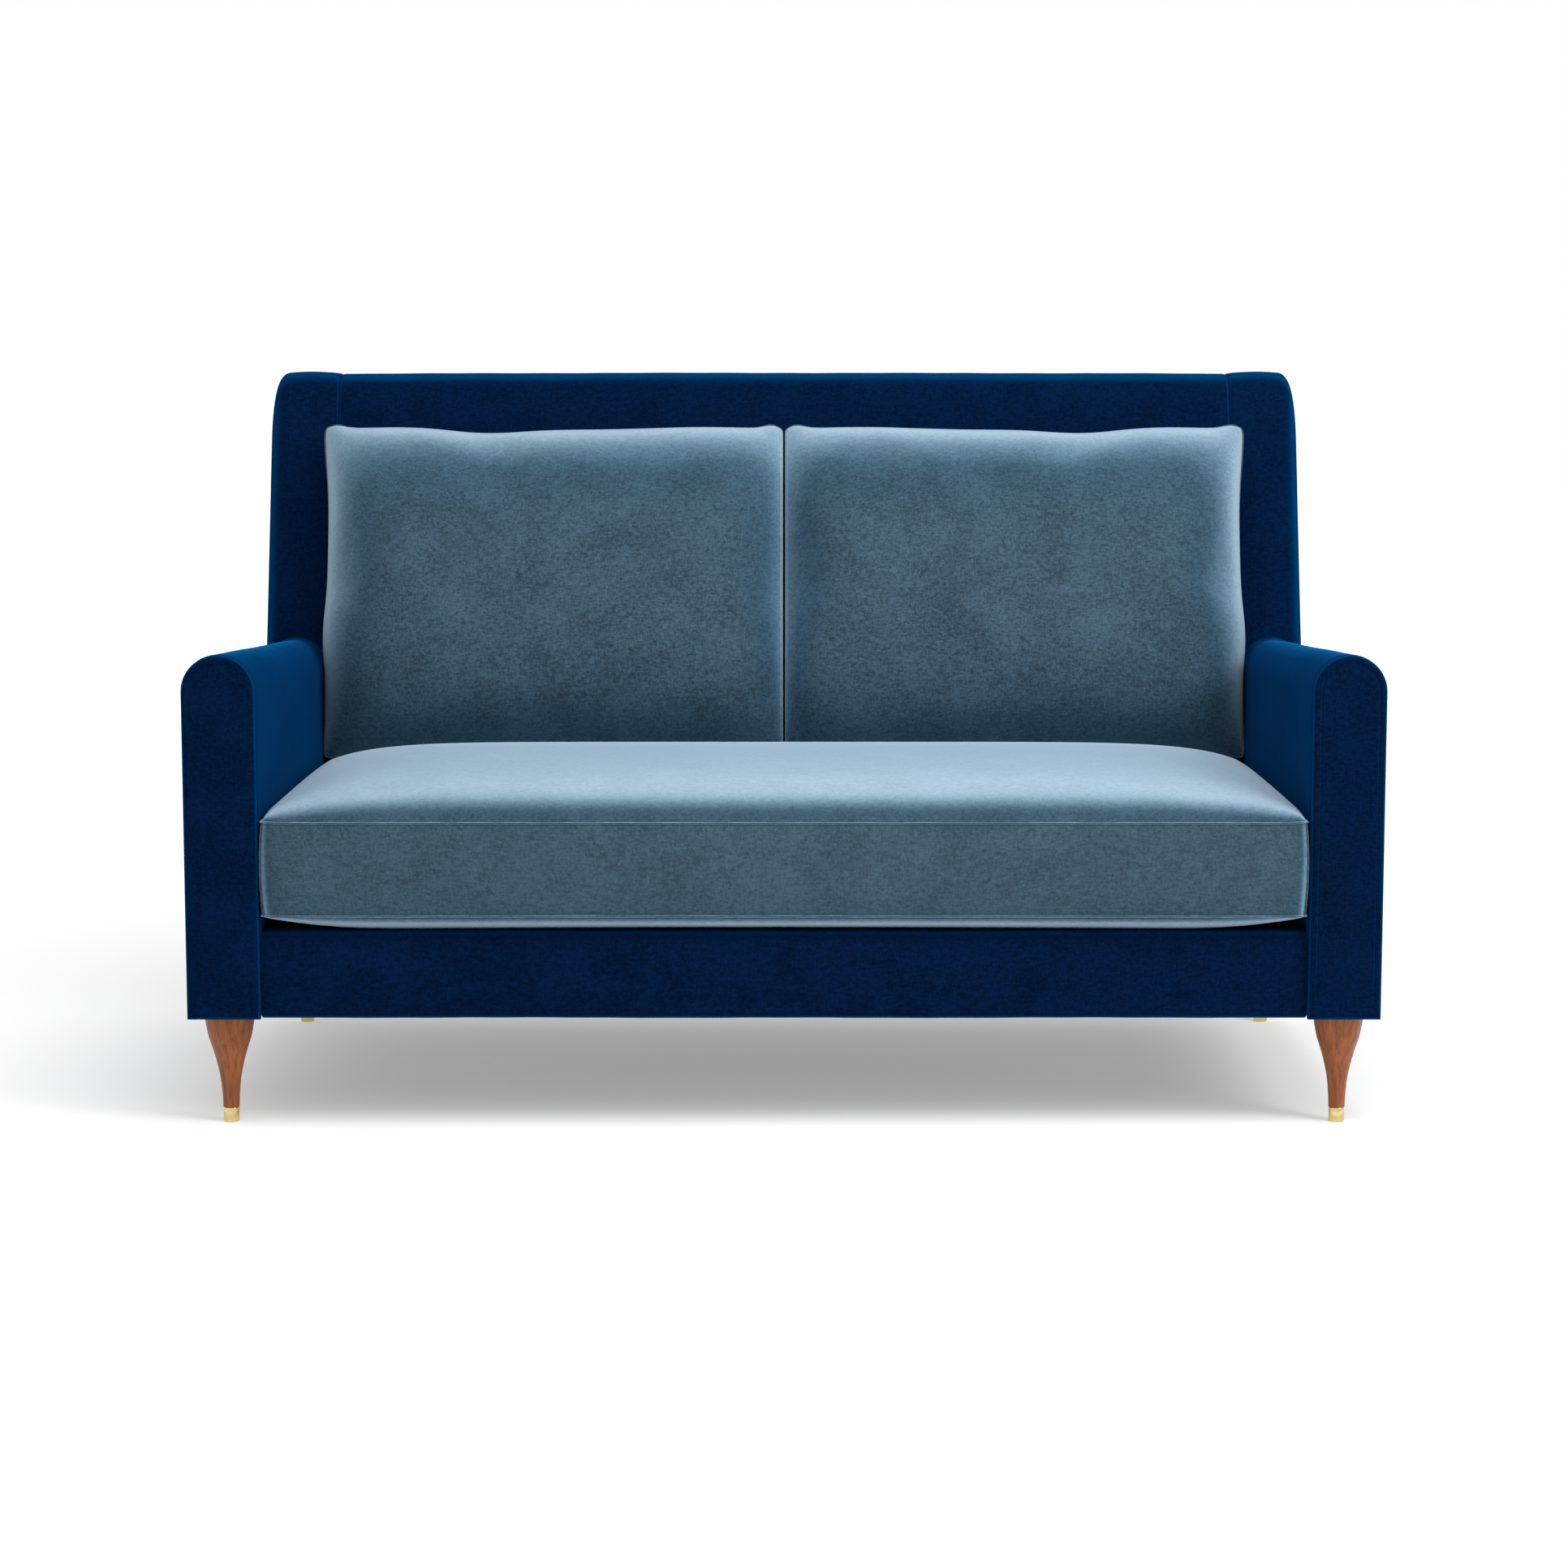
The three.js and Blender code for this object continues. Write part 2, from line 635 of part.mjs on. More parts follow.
// Turned leg: slim ankle, flaring in a long curve to a full shoulder. A spigot below fits the ferrule
function legSolid() {
  const curveShares = [[0.33, 0], [0.347, 0.12], [0.38, 0.226], [0.43, 0.33], [0.51, 0.435], [0.61, 0.54],
    [0.73, 0.643], [0.86, 0.748], [0.94, 0.852], [0.988, 0.933]];
  const top = legHeight - fitGap;
  const ankle = ferruleHeight + fitGap;
  const spigot = ferruleRadius - ferruleWall - fitGap;
  const bore = boltRadius + fitGap;
  return turned([
    [0, ferruleFloor + fitGap],
    [spigot, ferruleFloor + fitGap],
    [spigot, ankle],
    ...curveShares.map(([across, up]) => [legTopRadius * across, ankle + (top - ankle) * up]),
    [legTopRadius, top - legTopChamfer],
    [legTopRadius - legTopChamfer, top],
    [bore, top],
    [bore, top - boltBoreDepth],
    [0, top - boltBoreDepth],
  ], 18);
}

function ferruleSolid() {
  const bore = ferruleRadius - ferruleWall;
  return turned([
    [0, 0],
    [ferruleRadius - ferruleChamfer, 0],
    [ferruleRadius, ferruleChamfer],
    [ferruleRadius, ferruleHeight],
    [bore, ferruleHeight],
    [bore, ferruleFloor],
    [0, ferruleFloor],
  ], 18);
}

function boltSolid() {
  const bottom = legHeight - fitGap - boltInLeg;
  const top = blockTop + boltAboveBlock;
  return turned([
    [0, bottom],
    [boltRadius - boltChamfer, bottom],
    [boltRadius, bottom + boltChamfer],
    [boltRadius, top - boltChamfer],
    [boltRadius - boltChamfer, top],
    [0, top],
  ], 12);
}

// Flanged nut, pressed into the leg block from above
function nutSolid() {
  const bore = boltRadius + fitGap;
  const seat = blockTop + fitGap;
  return turned([
    [bore, seat - nutBarrelDepth],
    [nutBarrelRadius, seat - nutBarrelDepth],
    [nutBarrelRadius, seat],
    [nutFlangeRadius, seat],
    [nutFlangeRadius, seat + nutFlangeThickness],
    [bore, seat + nutFlangeThickness],
    [bore, seat - nutBarrelDepth],
  ], 12);
}

function addLegs() {
  const rearBlockEnd = beforeOutsideBack(timberBottom, outsideWall + fitGap + boardThickness) - fitGap;
  for (const { name, x, y } of legPlaces()) {
    const outward = Math.sign(x);
    const [x0, x1] = [outward * crossRailEnd, outward * (crossRailEnd - legBlockSize)].sort((a, b) => a - b);
    const y0 = y === frontLegSetback ? deckFront : rearBlockEnd - legBlockSize;
    addPiece(`leg_block_${name}`, plate(x0, x1, y0, y0 + legBlockSize, timberBottom, blockTop,
      [[x, y]], nutBarrelRadius + fitGap), hardwood);
    addPiece(`leg_${name}`, legSolid().translate(x, y, 0), walnut);
    addPiece(`ferrule_${name}`, ferruleSolid().translate(x, y, 0), brass);
    addPiece(`leg_bolt_${name}`, boltSolid().translate(x, y, 0), steel);
    addPiece(`tee_nut_${name}`, nutSolid().translate(x, y, 0), steel);
  }
}

// Even steps from -1 to 1, closer together towards both ends
const edgeSpacing = (i, count) => Math.sin((2 * i / count - 1) * Math.PI / 2);
const signedPower = (value, power) => Math.sign(value) * Math.abs(value) ** power;

// Cushion surface from its two panels, functions of u and v from -1 to 1, and the boxing between their edges
function cushion(columns, rows, bands, upper, lower, boxing) {
  const triangles = [];
  const grid = (wide, high, point) => {
    for (let i = 0; i < wide; i++) {
      for (let j = 0; j < high; j++) {
        const [a, b, c, d] = [point(i, j), point(i + 1, j), point(i + 1, j + 1), point(i, j + 1)];
        triangles.push(a, b, c, a, c, d);
      }
    }
  };
  const onPanel = (i, j) => [edgeSpacing(i, columns), edgeSpacing(j, rows)];
  const perimeter = [];
  for (let i = 0; i < columns; i++) perimeter.push(onPanel(i, 0));
  for (let j = 0; j < rows; j++) perimeter.push(onPanel(columns, j));
  for (let i = columns; i > 0; i--) perimeter.push(onPanel(i, rows));
  for (let j = rows; j > 0; j--) perimeter.push(onPanel(0, j));
  grid(columns, rows, (i, j) => upper(...onPanel(i, j)));
  grid(columns, rows, (i, j) => lower(...onPanel(columns - i, j)));
  grid(perimeter.length, bands, (i, j) => boxing(...perimeter[i % perimeter.length], j / bands));
  return new THREE.BufferGeometry().setFromPoints(triangles);
}

// Height of the seat cushion's crown above its upper seam
function seatRise(u, v) {
  return seatCrownHeight * (1 - Math.abs(u) ** 8) * (1 - Math.abs(v) ** 2.2);
}

const seatUpperRear = insideBackAt(seatUpperSeam) - seatRearClearance;
const seatLowerRear = insideBackAt(seatLowerSeam) - seatRearClearance;
const seatHalfWidth = innerHalfWidth - seatSideClearance - seatBoxingBulgeDepth;

// Place on a seam of the seat cushion: corners pulled round and sides drawn in between them
function seatPlan(u, v, rear) {
  const corner = seatCornerPullWidth * Math.abs(u * v) ** 16;
  const x = seatHalfWidth * u - Math.sign(u) * (corner + seatDrawInWidth * Math.abs(u) * (1 - v * v));
  const front = -seatFrontProudDepth;
  const y = (front + rear) / 2 + (rear - front) / 2 * v - Math.sign(v) * corner;
  return [x, y];
}

function seatCushion() {
  const belly = seatLowerSeam - deckHeight - fitGap;
  const upper = (u, v) => new THREE.Vector3(...seatPlan(u, v, seatUpperRear), seatUpperSeam + seatRise(u, v));
  const lower = (u, v) => new THREE.Vector3(...seatPlan(u, v, seatLowerRear),
    seatLowerSeam - belly * (1 - Math.abs(u) ** 16) * (1 - Math.abs(v) ** 16));
  const boxing = (u, v, share) => {
    const bulge = seatBoxingBulgeDepth * 4 * share * (1 - share);
    const rearwards = Math.min(v, 0);
    return lower(u, v).lerp(upper(u, v), share)
      .add(new THREE.Vector3(bulge * signedPower(u, 12), bulge * signedPower(rearwards, 12), 0));
  };
  return cushion(seatColumnCount, seatRowCount, seatBandCount, upper, lower, boxing);
}

// Top of the seat cushion under a point, or no height past its edges
function seatTopUnder(x, y) {
  const u = x / seatHalfWidth;
  const v = (2 * y - seatUpperRear + seatFrontProudDepth) / (seatUpperRear + seatFrontProudDepth);
  return Math.abs(u) > 1 || Math.abs(v) > 1 ? -Infinity : seatUpperSeam + seatRise(u, v);
}

// Right back cushion: knife-edged, pointed upper corners, straight where it rests, flat against the back
function backCushion(rise) {
  const inner = pillowCentreGap;
  const outer = innerHalfWidth - pillowSideGap;
  const along = new THREE.Vector3(0, Math.sin(insideRake), Math.cos(insideRake));
  const forward = new THREE.Vector3(0, -Math.cos(insideRake), Math.sin(insideRake));
  const foot = new THREE.Vector3(0, insideBackAt(seatUpperSeam), seatUpperSeam);
  const place = (u, v, setout) => {
    const upperHalf = Math.max(v, 0);
    const flare = pillowFlareWidth * upperHalf * upperHalf * Math.max(u, 0) ** 4;
    const drawn = pillowDrawInWidth * signedPower(u, 5) * (1 - Math.abs(v) ** 6);
    const dip = pillowTopDipDepth * upperHalf ** 5 * (1 - Math.abs(u) ** 6);
    const x = (inner + outer) / 2 + (outer - inner) / 2 * u + flare - drawn;
    return foot.clone().add(new THREE.Vector3(x, 0, 0))
      .addScaledVector(along, rise + pillowHeight * (v + 1) / 2 - dip)
      .addScaledVector(forward, setout);
  };
  const fullness = (u, v, power) =>
    ((1 - Math.abs(u) ** power) * (1 - Math.abs(v) ** power)) ** 0.6;
  const front = (u, v) => place(u, v, pillowSeamDepth + pillowBulgeDepth * fullness(u, v, 2.6));
  const rear = (u, v) => place(u, v, pillowSeamDepth - (pillowSeamDepth - fitGap) * fullness(u, v, 8));
  return cushion(pillowColumnCount, pillowRowCount, 0, front, rear, null);
}

// Rise along the back at which the back cushion just rests on the seat cushion
function restingRise() {
  let rise = 0;
  for (let round = 0; round < 6; round++) {
    const position = backCushion(rise).getAttribute('position');
    let clearance = Infinity;
    for (let i = 0; i < position.count; i++) {
      clearance = Math.min(clearance, position.getZ(i) - seatTopUnder(position.getX(i), position.getY(i)));
    }
    rise += (fitGap - clearance) / Math.cos(insideRake);
  }
  return rise;
}

function addCushions() {
  addPiece('seat_cushion', seatCushion(), blueVelvet);
  addPair('back_cushion', backCushion(restingRise()), blueVelvet);
}

addBaseTimber();
addArmTimber();
addBackTimber();
addSprings();
addUpholstery();
addLegs();
addCushions();

// The origin is on the floor, under the middle of the settee's length and depth
const extent = new THREE.Box3().setFromObject(settee);
settee.position.y = -(extent.min.y + extent.max.y) / 2;

export default settee;
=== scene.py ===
"""High back settee, dressed for its portrait.

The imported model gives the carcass. This script lays velvet covers and cushions over it, turns its legs and
stands it in a pale studio. Lengths are metres, angles radians, and colours are written as a screen shows
them.
"""

import json
import logging
import math
from dataclasses import dataclass, field, replace
from enum import Enum
from typing import Callable, Sequence

import bmesh
import bpy
import numpy as np
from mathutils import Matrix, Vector
from mathutils.kdtree import KDTree


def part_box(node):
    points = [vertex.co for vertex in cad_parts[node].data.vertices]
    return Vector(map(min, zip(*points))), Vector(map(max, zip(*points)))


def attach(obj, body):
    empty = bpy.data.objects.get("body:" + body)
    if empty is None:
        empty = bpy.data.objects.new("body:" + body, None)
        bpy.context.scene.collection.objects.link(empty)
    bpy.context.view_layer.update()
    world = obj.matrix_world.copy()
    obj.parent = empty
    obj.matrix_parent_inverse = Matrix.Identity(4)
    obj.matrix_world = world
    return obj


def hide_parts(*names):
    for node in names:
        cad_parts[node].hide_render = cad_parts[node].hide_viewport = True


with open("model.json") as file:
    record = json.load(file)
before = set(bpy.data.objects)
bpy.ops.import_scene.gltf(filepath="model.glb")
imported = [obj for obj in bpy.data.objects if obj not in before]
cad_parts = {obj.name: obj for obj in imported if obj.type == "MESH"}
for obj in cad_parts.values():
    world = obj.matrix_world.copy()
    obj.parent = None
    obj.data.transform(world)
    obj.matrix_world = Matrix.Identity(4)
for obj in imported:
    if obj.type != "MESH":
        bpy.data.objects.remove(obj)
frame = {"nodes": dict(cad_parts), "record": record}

log = logging.getLogger("settee")

Points = np.ndarray
Surface = Callable[[Points, Points], Points]
Pair = tuple[float, float]
Triple = tuple[float, float, float]
Quadruple = tuple[float, float, float, float]
Corner = Triple
Colour = Triple
Socket = bpy.types.NodeSocket

MERGE_DISTANCE = 1e-5

# Length and phase of the waves in loose cloth.
BROAD_WAVES = ((0.37, 1.3), (0.29, 0.4))
FINE_WAVES = ((0.17, 2.1), (0.21, 0.0))
FINE_SHARE = 0.5


class Side(Enum):
    """Side of the settee as someone facing it sees it. The value is the sign of X there."""

    LEFT = -1.0
    RIGHT = 1.0

    @property
    def word(self) -> str:
        """The side's name as the frame's nodes carry it."""
        return self.name.lower()


class Corners(Enum):
    """Corner of the base where a leg stands. The value is its name as the frame's nodes carry it."""

    FRONT_LEFT = "front_left"
    FRONT_RIGHT = "front_right"
    REAR_LEFT = "rear_left"
    REAR_RIGHT = "rear_right"


@dataclass(frozen=True)
class Carcass:
    """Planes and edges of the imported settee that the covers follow."""

    outer: float
    inner: float
    front: float
    facing_depth: float
    underside: float
    arm_top: float
    arm_foot: float
    back_top: float
    deck: float
    inside_foot: Pair
    outside_top: Pair
    inside_rake: float = math.radians(15.5)
    outside_rake: float = math.radians(6.01)
    arm_tuck: float = 0.02

    @classmethod
    def from_frame(cls) -> "Carcass":
        """Reads the carcass off the boxes of the frame's nodes.

        Returns:
            The carcass with its planes in place.
        """
        facing_low, facing_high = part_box("arm_facing_right")
        back_low, back_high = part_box("inside_back_panel")
        _, rear_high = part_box("outside_back_panel")
        _, deck_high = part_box("seat_deck")
        return cls(
            outer=facing_high.x, inner=facing_low.x, front=facing_low.y,
            facing_depth=facing_high.y - facing_low.y, underside=facing_low.z,
            arm_top=facing_high.z, arm_foot=deck_high.z - cls.arm_tuck,
            back_top=back_high.z, deck=deck_high.z,
            inside_foot=(back_low.y, back_low.z), outside_top=(rear_high.y, rear_high.z))

    def inside_back(self, z: Points | float) -> Points | float:
        """Y of the raked inside back at a height."""
        y0, z0 = self.inside_foot
        return y0 + (z - z0) * math.tan(self.inside_rake)

    def outside_back(self, z: Points | float) -> Points | float:
        """Y of the outside back at a height."""
        y0, z0 = self.outside_top
        return y0 + (z - z0) * math.tan(self.outside_rake)


def linear(colour: Colour) -> Quadruple:
    """Turns a screen colour into the light values that a shader wants.

    Args:
        colour: Red, green and blue from 0 to 255.

    Returns:
        Red, green, blue and an alpha of one, as linear values.
    """
    screen = np.array(colour) / 255.0
    light = np.where(screen <= 0.04045, screen / 12.92, ((screen + 0.055) / 1.055) ** 2.4)
    return (*light.tolist(), 1.0)


def profile(corners: Sequence[Corner], arc_steps: int, straight_steps: int) -> Points:
    """Open outline through corners, rounded where a corner has a radius.

    Between corners the line is straight with evenly spaced points. At a corner it follows the arc that
    touches both lines: each point is a weighted sum of the arc's two end spokes, with sine weights.

    Args:
        corners: Two coordinates and a radius for each corner.
        arc_steps: Steps along each arc.
        straight_steps: Steps along each straight stretch.

    Returns:
        The outline's points, one row each.
    """
    at = np.array([corner[:2] for corner in corners], dtype=float)
    arcs = [at[:1]]
    share = np.linspace(0.0, 1.0, arc_steps + 1)[:, None]
    for here, before, after, (_, _, radius) in zip(at[1:-1], at[:-2], at[2:], corners[1:-1]):
        back = (before - here) / np.linalg.norm(before - here)
        ahead = (after - here) / np.linalg.norm(after - here)
        half = math.acos(float(np.clip(back @ ahead, -1.0, 1.0))) / 2.0
        centre = here + (back + ahead) / np.linalg.norm(back + ahead) * radius / math.sin(half)
        start = here + back * radius / math.tan(half) - centre
        end = here + ahead * radius / math.tan(half) - centre
        sweep = math.pi - 2.0 * half
        weights = np.hstack([np.sin((1.0 - share) * sweep), np.sin(share * sweep)]) / math.sin(sweep)
        arcs.append(centre + weights @ np.array([start, end]))
    arcs.append(at[-1:])
    between = np.linspace(0.0, 1.0, straight_steps + 1)[1:-1, None]
    stretches = [arcs[0]]
    for last, following in zip(arcs[:-1], arcs[1:]):
        stretches.append(last[-1] * (1.0 - between) + following[0] * between)
        stretches.append(following)
    return np.concatenate(stretches)


def outline_normals(outline: Points) -> Points:
    """Unit normals on the left hand of an outline, from the slope between each point's neighbours.

    Args:
        outline: The outline's points.

    Returns:
        One normal for each point.
    """
    run = np.gradient(outline, axis=0)
    across = np.stack([-run[:, 1], run[:, 0]], axis=1)
    return across / np.linalg.norm(across, axis=1, keepdims=True)


def quarter_round(steps: int) -> tuple[Points, Points]:
    """Quarter circle of radius one.

    Args:
        steps: Steps along it.

    Returns:
        The way along, one less a cosine, and the draw-in, one less a sine.
    """
    angle = np.linspace(0.0, math.pi / 2.0, steps + 1)
    return 1.0 - np.cos(angle), 1.0 - np.sin(angle)


def rounded_span(low: float, high: float, low_radius: float, high_radius: float, steps: int,
                 middle: int) -> tuple[Points, Points]:
    """Stations along a padded length and how far its section is drawn in at each.

    At each end the draw-in follows a quarter circle: it is the radius times one minus the sine of an angle,
    where the station lies the radius times one minus the cosine from the end.

    Args:
        low: Start of the length.
        high: End of the length.
        low_radius: Radius of the softened start.
        high_radius: Radius of the softened end.
        steps: Stations on each quarter circle.
        middle: Stations between them.

    Returns:
        The stations and the draw-in at each.
    """
    along, drawn = quarter_round(steps)
    centre = np.linspace(low + low_radius, high - high_radius, middle + 2)[1:-1]
    places = np.concatenate([low + low_radius * along, centre, (high - high_radius * along)[::-1]])
    insets = np.concatenate([low_radius * drawn, np.zeros(middle), (high_radius * drawn)[::-1]])
    return places, insets


def wave(value: Points, length: float, phase: float) -> Points:
    """Sine wave of a value, by its length and phase."""
    return np.sin(2.0 * math.pi * value / length + phase)


def slack(a: Points, b: Points, amount: float) -> Points:
    """Gentle unevenness of cloth over padding: a sum of two crossed sine waves, a few hands wide.

    The broad one is a wave of a times one of b. The fine one is a wave of their sum times one of their
    difference.

    Args:
        a: First coordinate on the cloth.
        b: Second coordinate on the cloth.
        amount: Height of the broader wave.

    Returns:
        The unevenness.
    """
    broad = wave(a, *BROAD_WAVES[0]) * wave(b, *BROAD_WAVES[1])
    fine = wave(a + b, *FINE_WAVES[0]) * wave(a - b, *FINE_WAVES[1])
    return amount * (broad + FINE_SHARE * fine)


@dataclass(frozen=True)
class Sheet:
    """Grid of points, rows by columns, whose columns may close into a ring."""

    points: Points
    ring: bool = False

    def quads(self) -> Points:
        """Joins neighbouring points into four-sided faces.

        Returns:
            The four corner numbers of each face, one row each.
        """
        rows, columns, _ = self.points.shape
        across = columns if self.ring else columns - 1
        row, column = np.meshgrid(np.arange(rows - 1), np.arange(across), indexing="ij")
        near = row * columns + column
        far = row * columns + (column + 1) % columns
        return np.stack([near, far, far + columns, near + columns], axis=-1).reshape(-1, 4)


def make_piece(name: str, sheets: Sequence[Sheet], sharp: float = math.radians(45.0)) -> bpy.types.Object:
    """Joins sheets into one smooth piece with its faces pointing out.

    Args:
        name: The piece's name.
        sheets: The grids, which meet where their points coincide.
        sharp: Angle between faces past which an edge stays sharp.

    Returns:
        The new object, at the origin.
    """
    starts = np.cumsum([0] + [sheet.points.shape[0] * sheet.points.shape[1] for sheet in sheets])
    points = np.concatenate([sheet.points.reshape(-1, 3) for sheet in sheets])
    quads = np.concatenate([sheet.quads() + start for sheet, start in zip(sheets, starts)])
    mesh = bpy.data.meshes.new(name)
    mesh.from_pydata(points.tolist(), [], quads.tolist())
    work = bmesh.new()
    work.from_mesh(mesh)
    bmesh.ops.remove_doubles(work, verts=work.verts, dist=MERGE_DISTANCE)
    bmesh.ops.recalc_face_normals(work, faces=work.faces)
    work.to_mesh(mesh)
    work.free()
    mesh.shade_smooth()
    mesh.set_sharp_from_angle(angle=sharp)
    piece = bpy.data.objects.new(name, mesh)
    bpy.context.scene.collection.objects.link(piece)
    return piece


def carried_across(name: str, section: Points, normals: Points, x: Points,
                   outset: Points) -> bpy.types.Object:
    """Carries a section along X, with each of its points moved along its normal by an outset.

    Args:
        name: The piece's name.
        section: The section's points in Y and Z.
        normals: The section's normals.
        x: Stations along X.
        outset: How far each point is moved at each station.

    Returns:
        The new piece.
    """
    y = section[:, :1] + outset * normals[:, :1]
    z = section[:, 1:] + outset * normals[:, 1:]
    return make_piece(name, [Sheet(np.stack([x + 0.0 * y, y, z], axis=-1))])


def thicken(piece: bpy.types.Object, thickness: float) -> None:
    """Gives an open skin its thickness, inwards from its face, with crisp edges.

    Args:
        piece: The skin.
        thickness: Its thickness.
    """
    work = bmesh.new()
    work.from_mesh(piece.data)
    for edge in work.edges:
        if edge.is_boundary:
            edge.smooth = False
    work.to_mesh(piece.data)
    work.free()
    wall = piece.modifiers.new("thickness", "SOLIDIFY")
    wall.thickness = thickness
    wall.offset = -1.0


def tube(path: Points, radius: float, up: Points, closed: bool, sides: int = 8) -> Sheet:
    """Round cord along a path.

    Each ring lies square to the path: its points are the path's point plus the radius times the cosine of
    an angle along the sideways direction and the sine along the upward one.

    Args:
        path: Points of the cord's centre line.
        radius: Radius of the cord.
        up: Direction that is nowhere along the path.
        closed: Whether the path's end meets its start.
        sides: Points round the cord.

    Returns:
        The cord's surface.
    """
    if closed:
        run = np.roll(path, -1, axis=0) - np.roll(path, 1, axis=0)
    else:
        run = np.gradient(path, axis=0)
    run /= np.linalg.norm(run, axis=1, keepdims=True)
    across = np.cross(run, up)
    across /= np.linalg.norm(across, axis=1, keepdims=True)
    rise = np.cross(across, run)
    angle = np.linspace(0.0, 2.0 * math.pi, sides, endpoint=False)
    rings = (path[:, None] + radius * np.cos(angle)[None, :, None] * across[:, None]
             + radius * np.sin(angle)[None, :, None] * rise[:, None])
    if closed:
        rings = np.concatenate([rings, rings[:1]])
    return Sheet(rings, ring=True)


def lathe(outline: Points, centre: Pair, segments: int = 64) -> Sheet:
    """Turns an outline round an upright axis: X is the radius times a cosine, Y the radius times a sine.

    Args:
        outline: Radius and height of each of the outline's points.
        centre: X and Y of the axis.
        segments: Steps round the axis.

    Returns:
        The turned surface.
    """
    angle = np.linspace(0.0, 2.0 * math.pi, segments, endpoint=False)
    radius, height = outline[:, :1], outline[:, 1:]
    return Sheet(np.stack([
        centre[0] + radius * np.cos(angle), centre[1] + radius * np.sin(angle),
        height + 0.0 * angle], axis=-1), ring=True)


def smooth_through(points: Points, count: int) -> Points:
    """Curve through points: between two of them a cubic whose slopes come from their neighbours.

    Args:
        points: The points, one row each.
        count: Steps between two points.

    Returns:
        The curve's points.
    """
    padded = np.vstack([2.0 * points[0] - points[1], points, 2.0 * points[-1] - points[-2]])
    t = np.linspace(0.0, 1.0, count, endpoint=False)[None, :, None]
    a, b, c, d = (padded[k:len(padded) - 3 + k, None] for k in range(4))
    curve = 0.5 * (2.0 * b + (c - a) * t + (2.0 * a - 5.0 * b + 4.0 * c - d) * t ** 2
                   + (3.0 * b - a - 3.0 * c + d) * t ** 3)
    return np.vstack([curve.reshape(-1, points.shape[1]), points[-1:]])


class ShaderTree:
    """A material's nodes, added and joined in few words."""

    def __init__(self, name: str) -> None:
        """Starts a material that has a Principled shader and object coordinates.

        Args:
            name: The material's name.
        """
        self.material = bpy.data.materials.new(name)
        self.material.use_nodes = True
        self.nodes = self.material.node_tree.nodes
        self.links = self.material.node_tree.links
        self.shader = self.nodes["Principled BSDF"]
        self.place = self.nodes.new("ShaderNodeTexCoord").outputs["Object"]

    def set(self, **values: float | Quadruple) -> None:
        """Sets the shader's own sockets. Words in a name are joined by underscores."""
        for name, value in values.items():
            self.shader.inputs[name.replace("_", " ")].default_value = value

    def scaled(self, scale: Triple) -> Socket:
        """Object coordinates stretched by a scale.

        Args:
            scale: Stretch along X, Y and Z.

        Returns:
            The stretched place.
        """
        node = self.nodes.new("ShaderNodeMapping")
        node.inputs["Scale"].default_value = scale
        self.links.new(self.place, node.inputs["Vector"])
        return node.outputs["Vector"]

    def noise(self, place: Socket, scale: float, detail: float, roughness: float = 0.6,
              distortion: float = 0.0) -> Socket:
        """Cloudy noise over a place.

        Args:
            place: The place.
            scale: Clouds to the metre.
            detail: How many finer layers it has.
            roughness: How strong the finer layers are.
            distortion: How much it is stirred.

        Returns:
            The noise.
        """
        node = self.nodes.new("ShaderNodeTexNoise")
        for name, value in (("Scale", scale), ("Detail", detail), ("Roughness", roughness),
                            ("Distortion", distortion)):
            node.inputs[name].default_value = value
        self.links.new(place, node.inputs["Vector"])
        return node.outputs["Fac"]

    def ramp(self, value: Socket, low: float, high: float) -> Socket:
        """Stretches a value's range between two limits to the range from 0 to 1.

        Args:
            value: The value.
            low: What becomes 0.
            high: What becomes 1.

        Returns:
            The stretched value.
        """
        node = self.nodes.new("ShaderNodeMapRange")
        node.inputs["From Min"].default_value = low
        node.inputs["From Max"].default_value = high
        self.links.new(value, node.inputs["Value"])
        return node.outputs["Result"]

    def mixed(self, factor: Socket, first: Colour | Socket, second: Colour | Socket) -> Socket:
        """Colour between two colours.

        Args:
            factor: How far it lies from the first to the second.
            first: The first colour.
            second: The second colour.

        Returns:
            The colour.
        """
        node = self.nodes.new("ShaderNodeMix")
        node.data_type = "RGBA"
        self.links.new(factor, node.inputs["Factor"])
        colour_a, colour_b = (socket for socket in node.inputs
                              if socket.name in "AB" and socket.type == "RGBA")
        for colour, socket in ((first, colour_a), (second, colour_b)):
            if isinstance(colour, Socket):
                self.links.new(colour, socket)
            else:
                socket.default_value = linear(colour)
        return next(socket for socket in node.outputs if socket.type == "RGBA")

    def painted_sheen_ramp(self, colour_and_painted_sheen: Sequence[tuple[float, Colour]]) -> Socket:
        """Painted sheen and shade of a pile: its colour by how far the surface is seen at a glance.

        Args:
            colour_and_painted_sheen: Places from 0, straight on, to 1, at a glance, and their colours: the
                cloth's own straight on, painted sheen and shade past it.

        Returns:
            The colour, with its painted sheen and shade.
        """
        weight = self.nodes.new("ShaderNodeLayerWeight")
        weight.inputs["Blend"].default_value = 0.5
        node = self.nodes.new("ShaderNodeValToRGB")
        ramp = node.color_ramp
        ramp.interpolation = "B_SPLINE"
        for _ in range(len(colour_and_painted_sheen) - 2):
            ramp.elements.new(0.5)
        for element, (place, colour) in zip(ramp.elements, colour_and_painted_sheen):
            element.position = place
            element.color = linear(colour)
        self.links.new(weight.outputs["Facing"], node.inputs["Fac"])
        return node.outputs["Color"]

    def blended(self, first: Socket, second: Socket, share: float) -> Socket:
        """Number between two numbers.

        Args:
            first: The first number.
            second: The second number.
            share: How far it lies from the first to the second.

        Returns:
            The number.
        """
        node = self.nodes.new("ShaderNodeMix")
        node.inputs["Factor"].default_value = share
        self.links.new(first, node.inputs["A"])
        self.links.new(second, node.inputs["B"])
        return node.outputs["Result"]

    def colour(self, value: Socket) -> None:
        """Sends a colour to the shader."""
        self.links.new(value, self.shader.inputs["Base Color"])

